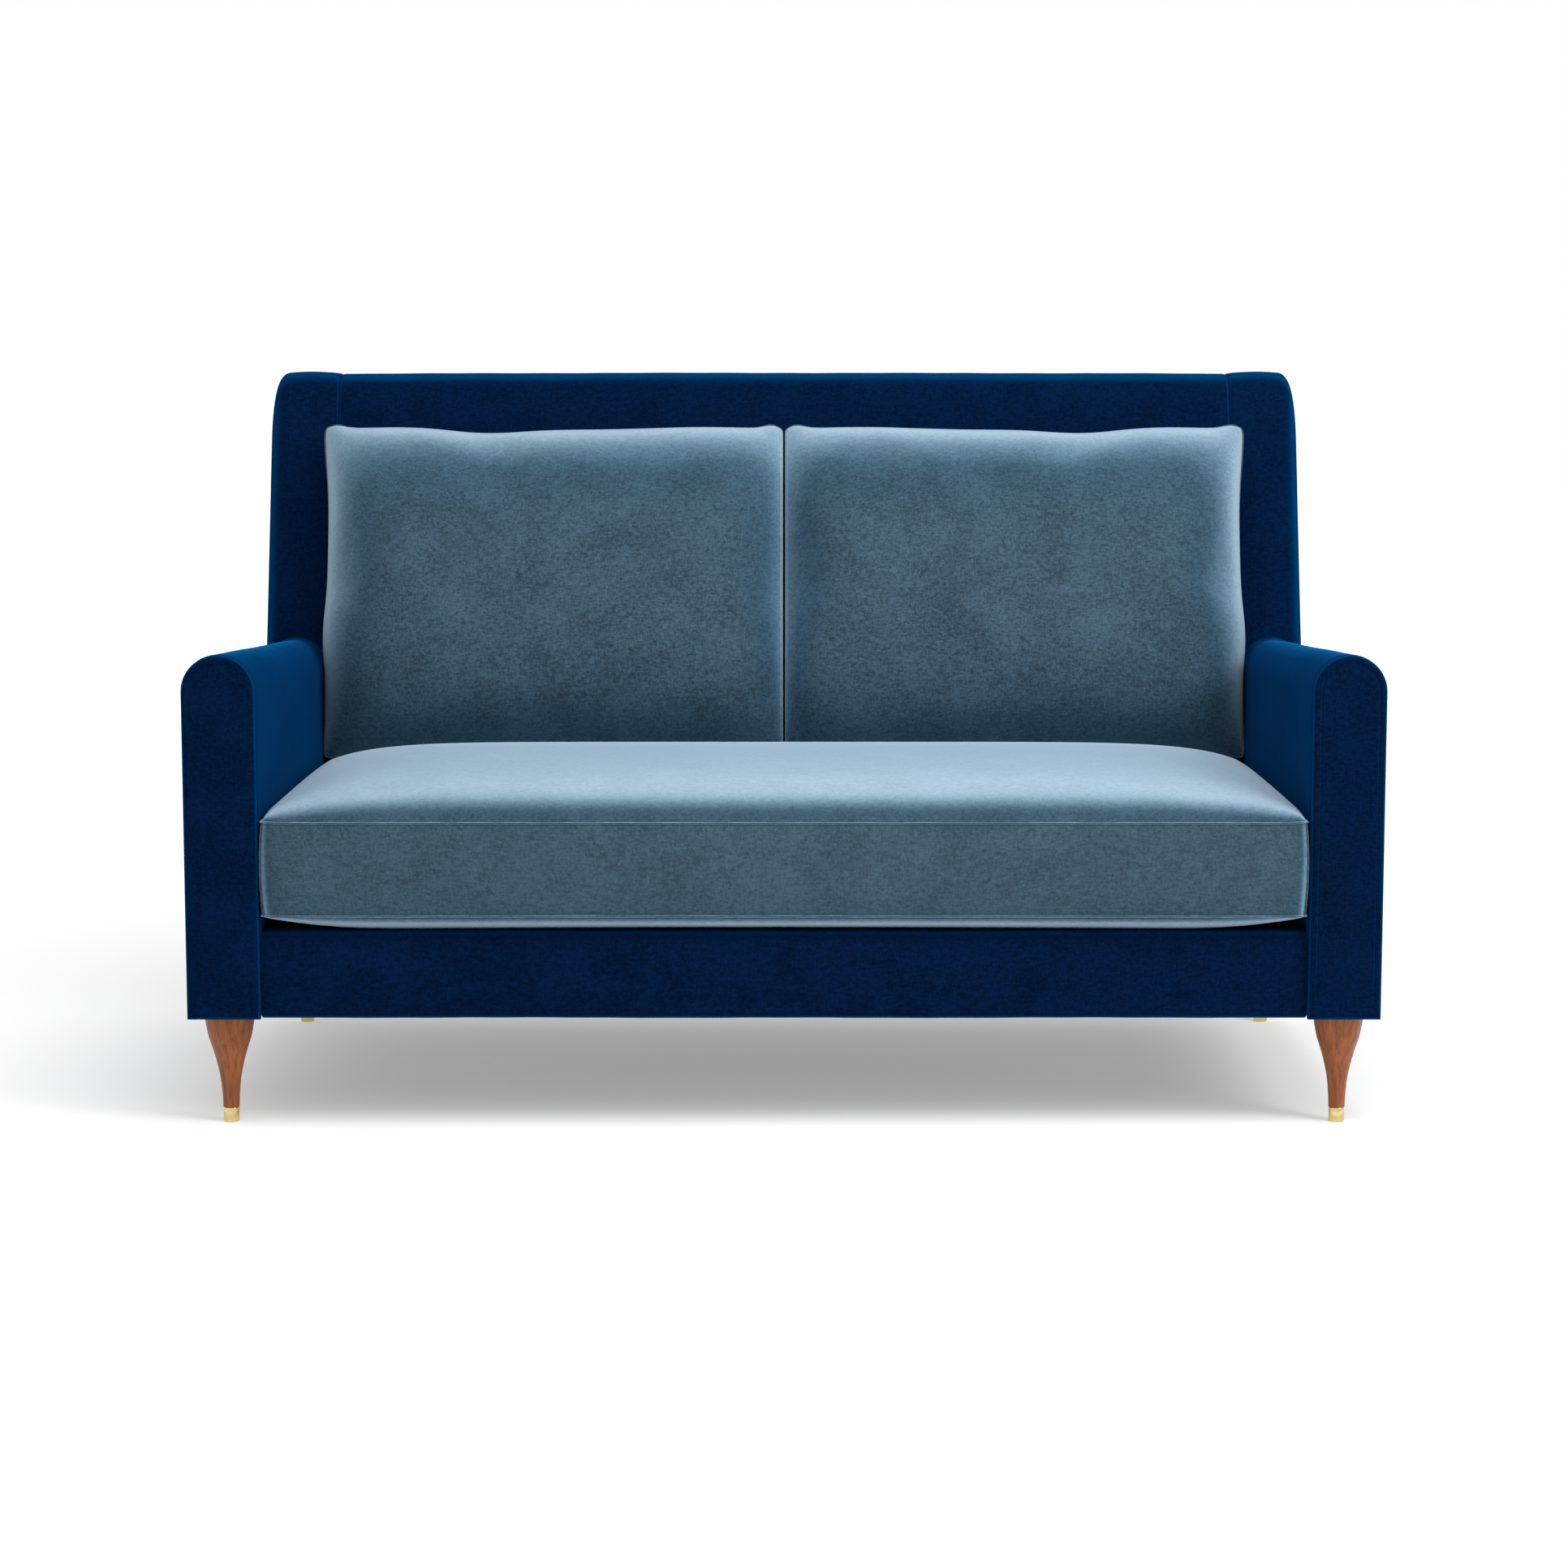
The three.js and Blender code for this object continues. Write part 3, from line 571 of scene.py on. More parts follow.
    def roughness(self, value: Socket) -> None:
        """Sends a roughness to the shader."""
        self.links.new(value, self.shader.inputs["Roughness"])

    def bump(self, height: Socket, strength: float, distance: float) -> None:
        """Raises the surface by a height.

        Args:
            height: The height's pattern.
            strength: How much of it counts.
            distance: How high it stands at most.
        """
        node = self.nodes.new("ShaderNodeBump")
        node.inputs["Strength"].default_value = strength
        node.inputs["Distance"].default_value = distance
        self.links.new(height, node.inputs["Height"])
        self.links.new(node.outputs["Normal"], self.shader.inputs["Normal"])


@dataclass(frozen=True)
class Velvet:
    """Short pile cloth, faintly crushed. Its colour paints the pile's sheen and shade by how far it is seen
    at a glance:
    the cloth's own colour straight on, painted shade in the ramp's dips, painted sheen towards a glance.

    The crush is the share of light and dark that brushing makes, seen straight on and at a glance.
    """

    name: str
    colour_and_painted_sheen: tuple[tuple[float, Colour], ...]
    crush: Pair
    sheen: Colour
    sheen_weight: float
    sheen_roughness: float

    def brushed(self, direction: float) -> list[tuple[float, Colour]]:
        """The velvet's colours, with their painted sheen and shade, with its pile brushed.

        Args:
            direction: 1 for the lighter way and -1 for the darker one.

        Returns:
            The colours with their painted sheen and shade, changed by the crush: the first share straight on,
            the second at a glance.
        """
        straight, glance = self.crush
        return [(place, tuple(channel * (1.0 + direction * (straight * (1.0 - place) ** 2 + glance * place))
                              for channel in colour)) for place, colour in self.colour_and_painted_sheen]

    def material(self) -> bpy.types.Material:
        """Builds the velvet.

        Returns:
            The velvet's material.
        """
        tree = ShaderTree(self.name)
        clouds = tree.noise(tree.place, scale=14.0, detail=3.0)
        along = tree.noise(tree.scaled((1.0, 1.0, 2.6)), scale=120.0, detail=6.0, roughness=0.76)
        across = tree.noise(tree.scaled((2.2, 2.2, 1.0)), scale=150.0, detail=6.0, roughness=0.76)
        crossed = tree.blended(along, across, share=0.45)
        nap = tree.ramp(tree.blended(crossed, clouds, share=0.14), low=0.43, high=0.57)
        # The base colour paints sheen and shade: two ramps by how far the pile is seen at a glance, mixed by
        # the crush.
        tree.colour(tree.mixed(nap, tree.painted_sheen_ramp(self.brushed(-1.0)), tree.painted_sheen_ramp(self.brushed(1.0))))
        pile = tree.noise(tree.scaled((1.0, 1.0, 2.2)), scale=900.0, detail=2.0)
        tree.bump(tree.blended(crossed, pile, share=0.5), strength=0.3, distance=0.0012)
        tree.set(Roughness=0.95, Specular_IOR_Level=0.0, Sheen_Weight=self.sheen_weight,
                 Sheen_Roughness=self.sheen_roughness, Sheen_Tint=linear(self.sheen))
        return tree.material


@dataclass(frozen=True)
class Walnut:
    """Oiled walnut with its grain along the leg."""

    name: str
    dark: Colour
    light: Colour

    def material(self) -> bpy.types.Material:
        """Builds the walnut.

        Returns:
            The walnut's material.
        """
        tree = ShaderTree(self.name)
        bands = tree.noise(tree.scaled((1.0, 1.0, 0.07)), scale=140.0, detail=5.0, distortion=0.6)
        pores = tree.noise(tree.scaled((1.0, 1.0, 0.03)), scale=900.0, detail=3.0, roughness=0.7)
        grain = tree.ramp(tree.blended(bands, pores, share=0.3), low=0.36, high=0.64)
        tree.colour(tree.mixed(grain, self.dark, self.light))
        tree.roughness(tree.ramp(pores, low=-0.9, high=2.4))
        tree.bump(pores, strength=0.15, distance=0.0003)
        tree.set(Specular_IOR_Level=0.3, Coat_Weight=0.08, Coat_Roughness=0.3)
        return tree.material


@dataclass(frozen=True)
class SawnTimber:
    """Bare sawn hardwood or plywood, hidden under the covers."""

    name: str
    dark: Colour
    light: Colour

    def material(self) -> bpy.types.Material:
        """Builds the timber.

        Returns:
            The timber's material.
        """
        tree = ShaderTree(self.name)
        grain = tree.noise(tree.scaled((0.06, 0.5, 1.0)), scale=120.0, detail=5.0, roughness=0.65,
                           distortion=0.8)
        tree.colour(tree.mixed(tree.ramp(grain, low=0.35, high=0.65), self.dark, self.light))
        tree.bump(grain, strength=0.3, distance=0.0006)
        tree.set(Roughness=0.8)
        return tree.material


@dataclass(frozen=True)
class Metal:
    """Turned or drawn metal with fine tool marks round it."""

    name: str
    tint: Colour
    stain: Colour
    gloss: float

    def material(self) -> bpy.types.Material:
        """Builds the metal.

        Returns:
            The metal's material.
        """
        tree = ShaderTree(self.name)
        marks = tree.noise(tree.scaled((0.05, 0.05, 1.0)), scale=2600.0, detail=2.0)
        cloud = tree.noise(tree.place, scale=60.0, detail=3.0)
        tree.colour(tree.mixed(tree.ramp(cloud, low=0.35, high=0.75), self.tint, self.stain))
        tree.roughness(tree.ramp(marks, low=0.5 - self.gloss, high=2.6 - self.gloss))
        tree.bump(marks, strength=0.08, distance=0.0001)
        tree.set(Metallic=1.0)
        return tree.material


@dataclass(frozen=True)
class WovenCloth:
    """Plain weave, as of webbing or lining. Its bands turn by one radian over a length of one pitch."""

    name: str
    warp: Colour
    weft: Colour
    pitch: float
    radians_per_metre: float = 20.0

    def material(self) -> bpy.types.Material:
        """Builds the cloth: the mean of two crossed sets of fine bands.

        Returns:
            The cloth's material.
        """
        tree = ShaderTree(self.name)
        waves = []
        for direction in ("X", "Z"):
            wave = tree.nodes.new("ShaderNodeTexWave")
            wave.bands_direction = direction
            wave.inputs["Scale"].default_value = 1.0 / self.pitch / self.radians_per_metre
            wave.inputs["Distortion"].default_value = 0.6
            tree.links.new(tree.place, wave.inputs["Vector"])
            waves.append(wave.outputs["Fac"])
        weave = tree.blended(*waves, share=0.5)
        tree.colour(tree.mixed(weave, self.warp, self.weft))
        tree.bump(weave, strength=0.4, distance=self.pitch / 4.0)
        tree.set(Roughness=0.95, Specular_IOR_Level=0.1)
        return tree.material


@dataclass(frozen=True)
class Wardrobe:
    """The settee's finishes, each made once and kept by the record's slot, and one more for the seat: a copy
    of the blue velvet whose painted sheen and shade are set for the seat.
    """

    materials: dict[str, bpy.types.Material]

    @classmethod
    def stocked(cls) -> "Wardrobe":
        """Makes every finish.

        Returns:
            The wardrobe with a material for each slot and for the seat.
        """
        finishes = {
            # Each velvet's first stop is its own colour straight on; the rest paint its sheen towards a
            # glance, and the dips paint shade.
            "navy_velvet": Velvet(
                "navy velvet", colour_and_painted_sheen=(
                    (0.0, (6, 26, 55)), (0.12, (3, 23, 51)), (0.28, (0, 34, 69)), (0.52, (0, 60, 108)),
                    (0.78, (0, 39, 77)), (0.91, (0, 45, 88)), (1.0, (16, 108, 170))),
                crush=(0.26, 0.01), sheen=(50, 120, 190), sheen_weight=0.13, sheen_roughness=0.35),
            "blue_velvet": Velvet(
                "dusty blue velvet", colour_and_painted_sheen=(
                    (0.0, (66, 87, 99)), (0.1, (51, 75, 90)), (0.24, (60, 88, 106)), (0.46, (118, 148, 168)),
                    (0.68, (162, 185, 201)), (0.88, (138, 164, 184)), (1.0, (187, 208, 222))),
                crush=(0.24, 0.02), sheen=(200, 222, 240), sheen_weight=0.2, sheen_roughness=0.3),
            "walnut": Walnut("walnut", dark=(114, 59, 27), light=(172, 100, 50)),
            "brass": Metal("polished brass", tint=(226, 205, 148), stain=(205, 182, 124), gloss=0.3),
            "steel": Metal("zinc plated steel", tint=(168, 170, 173), stain=(140, 143, 147), gloss=0.1),
            "hardwood": SawnTimber("sawn hardwood", dark=(170, 130, 88), light=(206, 168, 122)),
            "webbing": WovenCloth("jute webbing", warp=(120, 98, 70), weft=(92, 74, 52), pitch=0.002),
            "dust_cloth": WovenCloth("black lining", warp=(34, 35, 38), weft=(20, 21, 24), pitch=0.0015),
        }
        # A copy of the blue velvet whose painted sheen and shade stops are set for the seat.
        finishes["seat"] = replace(
            finishes["blue_velvet"], name="dusty blue velvet, seat", colour_and_painted_sheen=(
                (0.0, (66, 87, 99)), (0.1, (51, 75, 90)), (0.24, (68, 96, 114)), (0.46, (134, 163, 183)),
                (0.68, (161, 184, 200)), (0.88, (133, 159, 179)), (1.0, (184, 205, 220))),
            crush=(0.165, 0.028))
        return cls({slot: finish.material() for slot, finish in finishes.items()})

    def dress(self, piece: bpy.types.Object, slot: str, finish: str = "") -> None:
        """Gives a new piece the finish of a record's slot, or another finish.

        Args:
            piece: The piece.
            slot: The record's slot.
            finish: The finish, if it isn't the slot's own.
        """
        piece.data.materials.clear()
        piece.data.materials.append(self.materials[finish or slot])

    def dress_nodes(self) -> None:
        """Gives every node of the frame the finish of its slot."""
        slots = {part["node"]: part["material_slot"] for part in frame["record"]["subparts"]}
        for name, node in frame["nodes"].items():
            for place in node.material_slots:
                place.material = self.materials[slots[name]]


@dataclass
class Arm:
    """One arm: a cover over inside, crest and outside, and the arched facing in front of it."""

    side: Side
    carcass: Carcass
    wardrobe: Wardrobe
    rough_length: float = 0.7
    drop: float = 0.034
    skin: float = 0.008
    cover_edge: float = 0.003
    cove: float = 0.012
    overlap: float = 0.034
    facing_inset: float = 0.0012
    facing_edge: float = 0.007
    seam_inset: float = 0.0105
    seam_depth: float = 0.0009
    seam_width: float = 0.0008
    seam_margin: float = 0.003
    seam_fade: float = 0.03
    dome: float = 0.0012
    looseness: float = 0.0004
    facing_looseness: float = 0.00025
    corner_fade: float = 1.7
    side_steps: int = 20
    arch_steps: int = 40
    edge_steps: int = 6
    length_steps: int = 33
    cove_steps: int = 9
    facing_steps: tuple[int, int, int] = (8, 19, 11)

    @property
    def radius(self) -> float:
        """Radius of the half-round crest."""
        return (self.carcass.outer - self.carcass.inner) / 2.0

    @property
    def slope(self) -> float:
        """How far the crest falls for each metre towards the back."""
        case = self.carcass
        return self.drop / (case.inside_back(case.arm_top - self.drop) - case.front)

    @property
    def springing(self) -> float:
        """Height at the front where the sides end and the crest begins."""
        return self.carcass.arm_top - self.radius

    def section(self) -> tuple[Points, Points, Points]:
        """Section of the cover at the front: up the inside, over a half circle, down the outside.

        Returns:
            The section's points in X and Z, its outward normals, and how much each point falls along the
            arm, which grows from 0 at a foot to 1 at the springing.
        """
        case, radius, top = self.carcass, self.radius, self.springing
        climb = np.linspace(0.0, 1.0, self.side_steps, endpoint=False)
        angle = math.pi * (1.0 - np.linspace(0.0, 1.0, self.arch_steps + 1))
        inside = np.stack([case.inner + 0.0 * climb, case.arm_foot + (top - case.arm_foot) * climb], axis=1)
        round_over = np.stack([np.cos(angle), np.sin(angle)], axis=1)
        crest = np.array([case.inner + radius, top]) + radius * round_over
        outside = np.stack([case.outer + 0.0 * climb,
                            case.underside + (top - case.underside) * climb], axis=1)[::-1]
        normals = np.concatenate([np.tile([-1.0, 0.0], (len(inside), 1)), round_over,
                                  np.tile([1.0, 0.0], (len(outside), 1))])
        falls = np.concatenate([climb, np.ones(len(angle)), climb[::-1]])
        return np.concatenate([inside, crest, outside]), normals, falls

    def cover(self) -> bpy.types.Object:
        """Cover of the arm, carried from the facing to the raked back along the falling crest.

        The front edge is drawn in on a quarter circle. Where the crest meets the back, the section swells
        on a concave quarter circle, as cloth does that is pulled into a corner.

        Returns:
            The cover.
        """
        case = self.carcass
        section, normals, falls = self.section()
        start = case.front + case.facing_depth
        lean = math.tan(case.inside_rake)
        slope = self.slope
        height_at_start = section[:, 1] + falls * slope * case.front
        y0, z0 = case.inside_foot
        back = (y0 + (height_at_start - z0) * lean) / (1.0 + falls * slope * lean)
        near, drawn = (self.cover_edge * way for way in quarter_round(self.edge_steps))
        middle = np.linspace(0.0, 1.0, self.length_steps + 1)[1:-1, None]
        gap = self.cove * np.linspace(1.0, 0.0, self.cove_steps + 1)[:, None]
        swell = self.cove - np.sqrt(self.cove ** 2 - (self.cove - gap) ** 2)
        faded = np.clip(1.0 - self.corner_fade * normals[:, 0].clip(0.0), 0.0, 1.0)
        ahead = np.clip(normals[:, 1], 0.0, 1.0) * faded
        y = np.concatenate([
            start + near[:, None] + 0.0 * back,
            (start + self.cover_edge) * (1.0 - middle) + (back - self.cove) * middle,
            back - gap,
            back[None] + self.overlap])
        outset = np.concatenate([
            -drawn[:, None] + 0.0 * back,
            slack(middle * self.rough_length, section[:, 1] + section[:, 0], self.looseness) + 0.0 * back,
            swell * ahead,
            self.cove * ahead[None]])
        x = section[:, 0] + outset * normals[:, 0]
        z = section[:, 1] - falls * slope * (y - case.front) + outset * normals[:, 1]
        piece = make_piece(f"arm_cover_velvet_{self.side.word}", [
            Sheet(np.stack([self.side.value * x, y, z], axis=-1))])
        thicken(piece, self.skin)
        return piece

    def facing_outline(self) -> Points:
        """Closed outline of the facing: inside, half-circle crest, outside, foot.

        Returns:
            The outline's points in X and Z.
        """
        case, top = self.carcass, self.springing
        climb = np.linspace(0.0, 1.0, self.side_steps, endpoint=False)
        angle = math.pi * (1.0 - np.linspace(0.0, 1.0, self.arch_steps, endpoint=False))
        middle = case.inner + self.radius
        tall = top - case.underside
        inside = np.stack([case.inner + 0.0 * climb, case.underside + tall * climb], axis=1)
        crest = np.array([middle, top]) + self.radius * np.stack([np.cos(angle), np.sin(angle)], axis=1)
        outside = np.stack([case.outer + 0.0 * climb, top - tall * climb], axis=1)
        foot = np.stack([case.outer - 2.0 * self.radius * climb, case.underside + 0.0 * climb], axis=1)
        return np.concatenate([inside, crest, outside, foot])

    def facing(self) -> bpy.types.Object:
        """Facing: rings drawn in from its outline to its middle line, each at its own depth.

        A ring's depth is that of a quarter-round edge, then of a low dome, with a stitched groove whose
        section is a bell curve. The groove fades out towards the foot on a smooth step.

        Returns:
            The facing.
        """
        case, radius, top = self.carcass, self.radius, self.springing
        outline = self.facing_outline()
        middle, tall = case.inner + radius, top - case.underside
        reach = radius - self.facing_inset
        edge_steps, fine_steps, broad_steps = self.facing_steps
        edge_inset, edge_depth = (self.facing_edge * way for way in quarter_round(edge_steps))
        past_seam = self.seam_inset + self.seam_margin
        fine = np.linspace(self.facing_edge, past_seam, fine_steps + 1)[1:]
        broad = np.linspace(past_seam, reach, broad_steps + 1)[1:]
        inset = np.concatenate([[0.0, 0.0], edge_inset, fine, broad])[:, None]
        depth = np.concatenate([[case.facing_depth, self.facing_edge * 1.5], edge_depth,
                                np.zeros(len(fine) + len(broad))])[:, None]
        share = (reach - inset) / radius
        over = np.clip(outline[:, 1] - top, 0.0, None)
        below = np.minimum(outline[:, 1], top) - case.underside
        x = middle + (outline[:, 0] - middle) * share
        z = case.underside + inset + below * (tall - inset) / tall + over * share
        lifted = np.clip(below / self.seam_fade, 0.0, 1.0)
        fade = lifted ** 2 * (3.0 - 2.0 * lifted)
        groove = self.seam_depth * np.exp(-((inset - self.seam_inset) / self.seam_width) ** 2) * fade
        beyond = np.clip((inset - self.seam_inset) / (reach - self.seam_inset), 0.0, 1.0)
        loose = slack(x, z, self.facing_looseness) * (inset > self.facing_edge)
        y = case.front + depth + groove - self.dome * np.sin(beyond * math.pi / 2.0) + loose
        return make_piece(f"arm_facing_velvet_{self.side.word}", [
            Sheet(np.stack([self.side.value * x, y, z], axis=-1), ring=True)])

    def build(self) -> None:
        """Makes the arm's pieces, puts them on the frame and dresses them."""
        for piece, node in ((self.cover(), "arm_cover"), (self.facing(), "arm_facing")):
            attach(piece, "frame")
            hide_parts(f"{node}_{self.side.word}")
            self.wardrobe.dress(piece, "navy_velvet")
            log.info("%s made", piece.name)


@dataclass
class Back:
    """The back: inside panel, padded ends, and the tight outside back with its welt."""

    carcass: Carcass
    wardrobe: Wardrobe
    skin: float = 0.008
    gap: float = 0.0004
    front_radius: float = 0.034
    rear_radius: float = 0.018
    seam_radius: float = 0.007
    seam_shift: float = 0.006
    end_roll: Triple = (0.030, 0.115, 0.028)
    roll_powers: Pair = (1.7, 2.76)
    least_radius: float = 0.003
    panel_crown: float = 0.0015
    panel_power: float = 4
    slack_power: float = 8
    end_crown: float = 0.0035
    end_power: float = 0.7
    cheek_puff: float = 0.0012
    looseness: float = 0.0006
    outside_bulge: float = 0.003
    outside_power: float = 14
    outside_level: float = 0.7
    welt_radius: float = 0.0024
    welt_corner: float = 0.012
    welt_lift: float = 0.001
    section_steps: tuple[int, int] = (12, 26)
    seam_steps: int = 7
    panel_steps: int = 70
    level_steps: int = 12
    roll_steps: int = 18
    cheek_steps: int = 8
    outside_steps: tuple[int, int] = (89, 59)
    welt_steps: tuple[int, int] = (8, 60)

    def lines(self, fall: float, inset: float, bottom: float) -> list[Corner]:
        """Corners of the back's section in Y and Z.

        Args:
            fall: How far the top is lowered.
            inset: How far the front is drawn in. The rear is drawn in half as much.
            bottom: Height of the section's ends.

        Returns:
            The corners, from the front's foot over the top to the rear's.
        """
        case = self.carcass
        top = case.back_top - fall
        forward = inset / math.cos(case.inside_rake)
        behind = inset / 2.0 / math.cos(case.outside_rake)
        return [
            (case.inside_back(bottom) + forward, bottom, 0.0),
            (case.inside_back(top) + forward, top, max(self.front_radius - inset, self.least_radius)),
            (case.outside_back(top) - behind, top, max(self.rear_radius - inset, self.least_radius)),
            (case.outside_back(bottom) - behind, bottom, 0.0),
        ]

    def inside_panel(self) -> bpy.types.Object:
        """Inside back: its section hooks over the top and down the rear, carried across the settee.

        Returns:
            The panel.
        """
        case = self.carcass
        _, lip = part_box("outside_back_panel")
        corners = self.lines(0.0, 0.0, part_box("inside_back_panel")[0].z)
        corners[3] = (case.outside_back(lip.z), lip.z, 0.0)
        section = profile(corners, *self.section_steps)
        normals = outline_normals(section)
        half = case.inner - self.seam_shift - self.gap
        x, inset = rounded_span(-half, half, self.seam_radius, self.seam_radius, self.seam_steps,
                                self.panel_steps)
        share = x / half
        crown = self.panel_crown * (1.0 - share ** self.panel_power) * np.clip(normals[:, 1:], 0.0, 1.0)
        loose = slack(x[None], section[:, 1:], self.looseness) * (1.0 - share ** self.slack_power)
        piece = carried_across("inside_back_velvet", section, normals, x, crown + loose - inset[None])
        thicken(piece, self.skin)
        return piece

    def padded_end(self, side: Side) -> bpy.types.Object:
        """Padded end of the back: sections drawn in towards the outside, then a nearly flat cheek.

        Towards the outside a section's distance from the cheek shrinks as a power of what is left of a share,
        its fall grows as a power of the share, and its draw-in follows a quarter circle of the distance. A
        low crown on top is a power of a sine along the end. The cheek is made of rings that run from the last
        section to the line halfway between its front and rear.

        Args:
            side: The end's side.

        Returns:
            The end.
        """
        case = self.carcass
        across, tall, forward = self.end_roll
        near, drawn = rounded_span(case.inner - self.seam_shift, case.outer, self.seam_radius, 0.0,
                                   self.seam_steps, self.level_steps)
        level = near < case.outer - across
        near, drawn = near[level], drawn[level]
        share = np.linspace(0.0, 1.0, self.roll_steps + 1)
        away_power, fall_power = self.roll_powers
        away = (1.0 - share) ** away_power
        x = np.concatenate([near, case.outer - across * away])
        falls = np.concatenate([drawn, tall * share ** fall_power])
        insets = np.concatenate([drawn, forward * (1.0 - np.sqrt(away * (2.0 - away)))])
        sections = np.stack([
            profile(self.lines(float(fall), float(inset), case.underside), *self.section_steps)
            for fall, inset in zip(falls, insets)])
        up = np.clip(outline_normals(sections[len(x) // 2])[:, 1], 0.0, 1.0)
        along = np.clip((x - near[0]) / (case.outer - across / 2.0 - near[0]), 0.0, 1.0)
        sections[:, :, 1] += self.end_crown * np.sin(along * math.pi)[:, None] ** self.end_power * up
        cheek_share = np.linspace(0.0, 1.0, self.cheek_steps + 1)[1:, None, None]
        last = sections[-1]
        halfway = (last + last[::-1]) / 2.0
        cheek = last * (1.0 - cheek_share) + halfway * cheek_share
        rings = np.concatenate([sections, cheek])
        puff = self.cheek_puff * np.sin(cheek_share[:, 0, 0] * math.pi / 2.0)
        stations = side.value * np.concatenate([x, case.outer + puff])
        piece = make_piece(f"back_end_velvet_{side.word}", [
            Sheet(np.dstack([stations[:, None] + 0.0 * rings[:, :, 0], rings]))])
        thicken(piece, self.skin)
        return piece

    def outside_panel(self) -> bpy.types.Object:
        """Outside back: a raked plane that swells, and so rolls in at its edges.

        The swell is a product of two factors, each one less a high power of a coordinate.

        Returns:
            The panel.
        """
        case = self.carcass
        low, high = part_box("outside_back_panel")
        even = (np.linspace(-1.0, 1.0, steps + 1) for steps in self.outside_steps)
        u, v = np.meshgrid(*even, indexing="ij")
        u, v = np.sin(u * math.pi / 2.0), np.sin(v * math.pi / 2.0)
        x, z = high.x * u, (low.z + high.z) / 2.0 + (high.z - low.z) / 2.0 * v
        swell = (1.0 - np.abs(u) ** self.outside_power) * (1.0 - np.abs(v) ** self.outside_power)
        y = (case.outside_back(z) + self.outside_bulge * (swell - self.outside_level)
             + slack(x, z, self.looseness) * swell)
        piece = make_piece("outside_back_velvet", [Sheet(np.stack([x, y, z], axis=-1))])
        thicken(piece, self.skin / 2.0)
        return piece

    def welt(self) -> bpy.types.Object:
        """Welt round the outside back: a cord up one side, across under the lip and down the other side.

        Returns:
            The welt.
        """
        case = self.carcass
        low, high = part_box("outside_back_panel")
        foot, top, side, corner = low.z + self.welt_lift, high.z, high.x, self.welt_corner
        route = profile([(-side, foot, 0.0), (-side, top, corner), (side, top, corner), (side, foot, 0.0)],
                        *self.welt_steps)
        y = case.outside_back(route[:, 1]) + self.welt_radius / 5.0
        path = np.stack([route[:, 0], y, route[:, 1]], axis=1)
        rings = tube(path, self.welt_radius, np.array([0.0, 1.0, 0.0]), closed=False)
        ends = [Sheet(np.stack([rings.points[end], 0.0 * rings.points[end] + path[end]]), ring=True)
                for end in (0, -1)]
        return make_piece("outside_back_welt", [rings, *ends])

    def build(self) -> None:
        """Makes the back's pieces, puts them on the frame and dresses them."""
        replaced = [(self.inside_panel(), "inside_back_panel"), (self.outside_panel(), "outside_back_panel")]
        replaced += [(self.padded_end(side), f"upright_cover_{side.word}") for side in Side]
        for piece, node in replaced:
            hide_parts(node)
        for piece in [made for made, _ in replaced] + [self.welt()]:
            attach(piece, "frame")
            self.wardrobe.dress(piece, "navy_velvet")
            log.info("%s made", piece.name)


@dataclass
class FrontRail:
    """Padded border under the seat cushion. Its ends reach a little under the arm facings' soft edges."""

    carcass: Carcass
    wardrobe: Wardrobe
    reach: float = 0.0008
    recess: float = 0.012
    lower_lip: float = 0.022
    top_radius: float = 0.018
    bottom_radius: float = 0.007
    end_radius: float = 0.003
    bulge: float = 0.0015
    bulge_power: float = 10
    looseness: float = 0.0005
    slack_power: float = 8
    skin: float = 0.008
    section_steps: tuple[int, int] = (10, 12)
    end_steps: int = 7
    middle_steps: int = 90

    def build(self) -> None:
        """Makes the border, puts it on the frame and dresses it.

        Its section runs from the deck over the front edge and under, and is carried across the settee. The
        front bulges by a sine of its height, evenly along most of the length.
        """
        case = self.carcass
        low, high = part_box("front_rail_cover")
        front = case.front + self.recess
        section = profile([
            (high.y, high.z, 0.0), (front, high.z, self.top_radius), (front, low.z, self.bottom_radius),
            (front + self.lower_lip, low.z, 0.0)], *self.section_steps)
        normals = -outline_normals(section)
        half = case.inner + self.reach
        x, inset = rounded_span(-half, half, self.end_radius, self.end_radius, self.end_steps,
                                self.middle_steps)
        share = np.abs(x / half)
        level = np.clip((section[:, 1:] - low.z) / (high.z - low.z), 0.0, 1.0)
        forward = np.clip(-normals[:, :1], 0.0, 1.0)
        bulge = self.bulge * (forward * np.sin(level * math.pi) * (1.0 - share ** self.bulge_power))
        loose = slack(x[None], section[:, 1:], self.looseness) * (1.0 - share ** self.slack_power)
        piece = carried_across("front_rail_velvet", section, normals, x, bulge + loose - inset[None])
        thicken(piece, self.skin)
        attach(piece, "frame")
        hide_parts("front_rail_cover")
        self.wardrobe.dress(piece, "navy_velvet")
        log.info("%s made", piece.name)


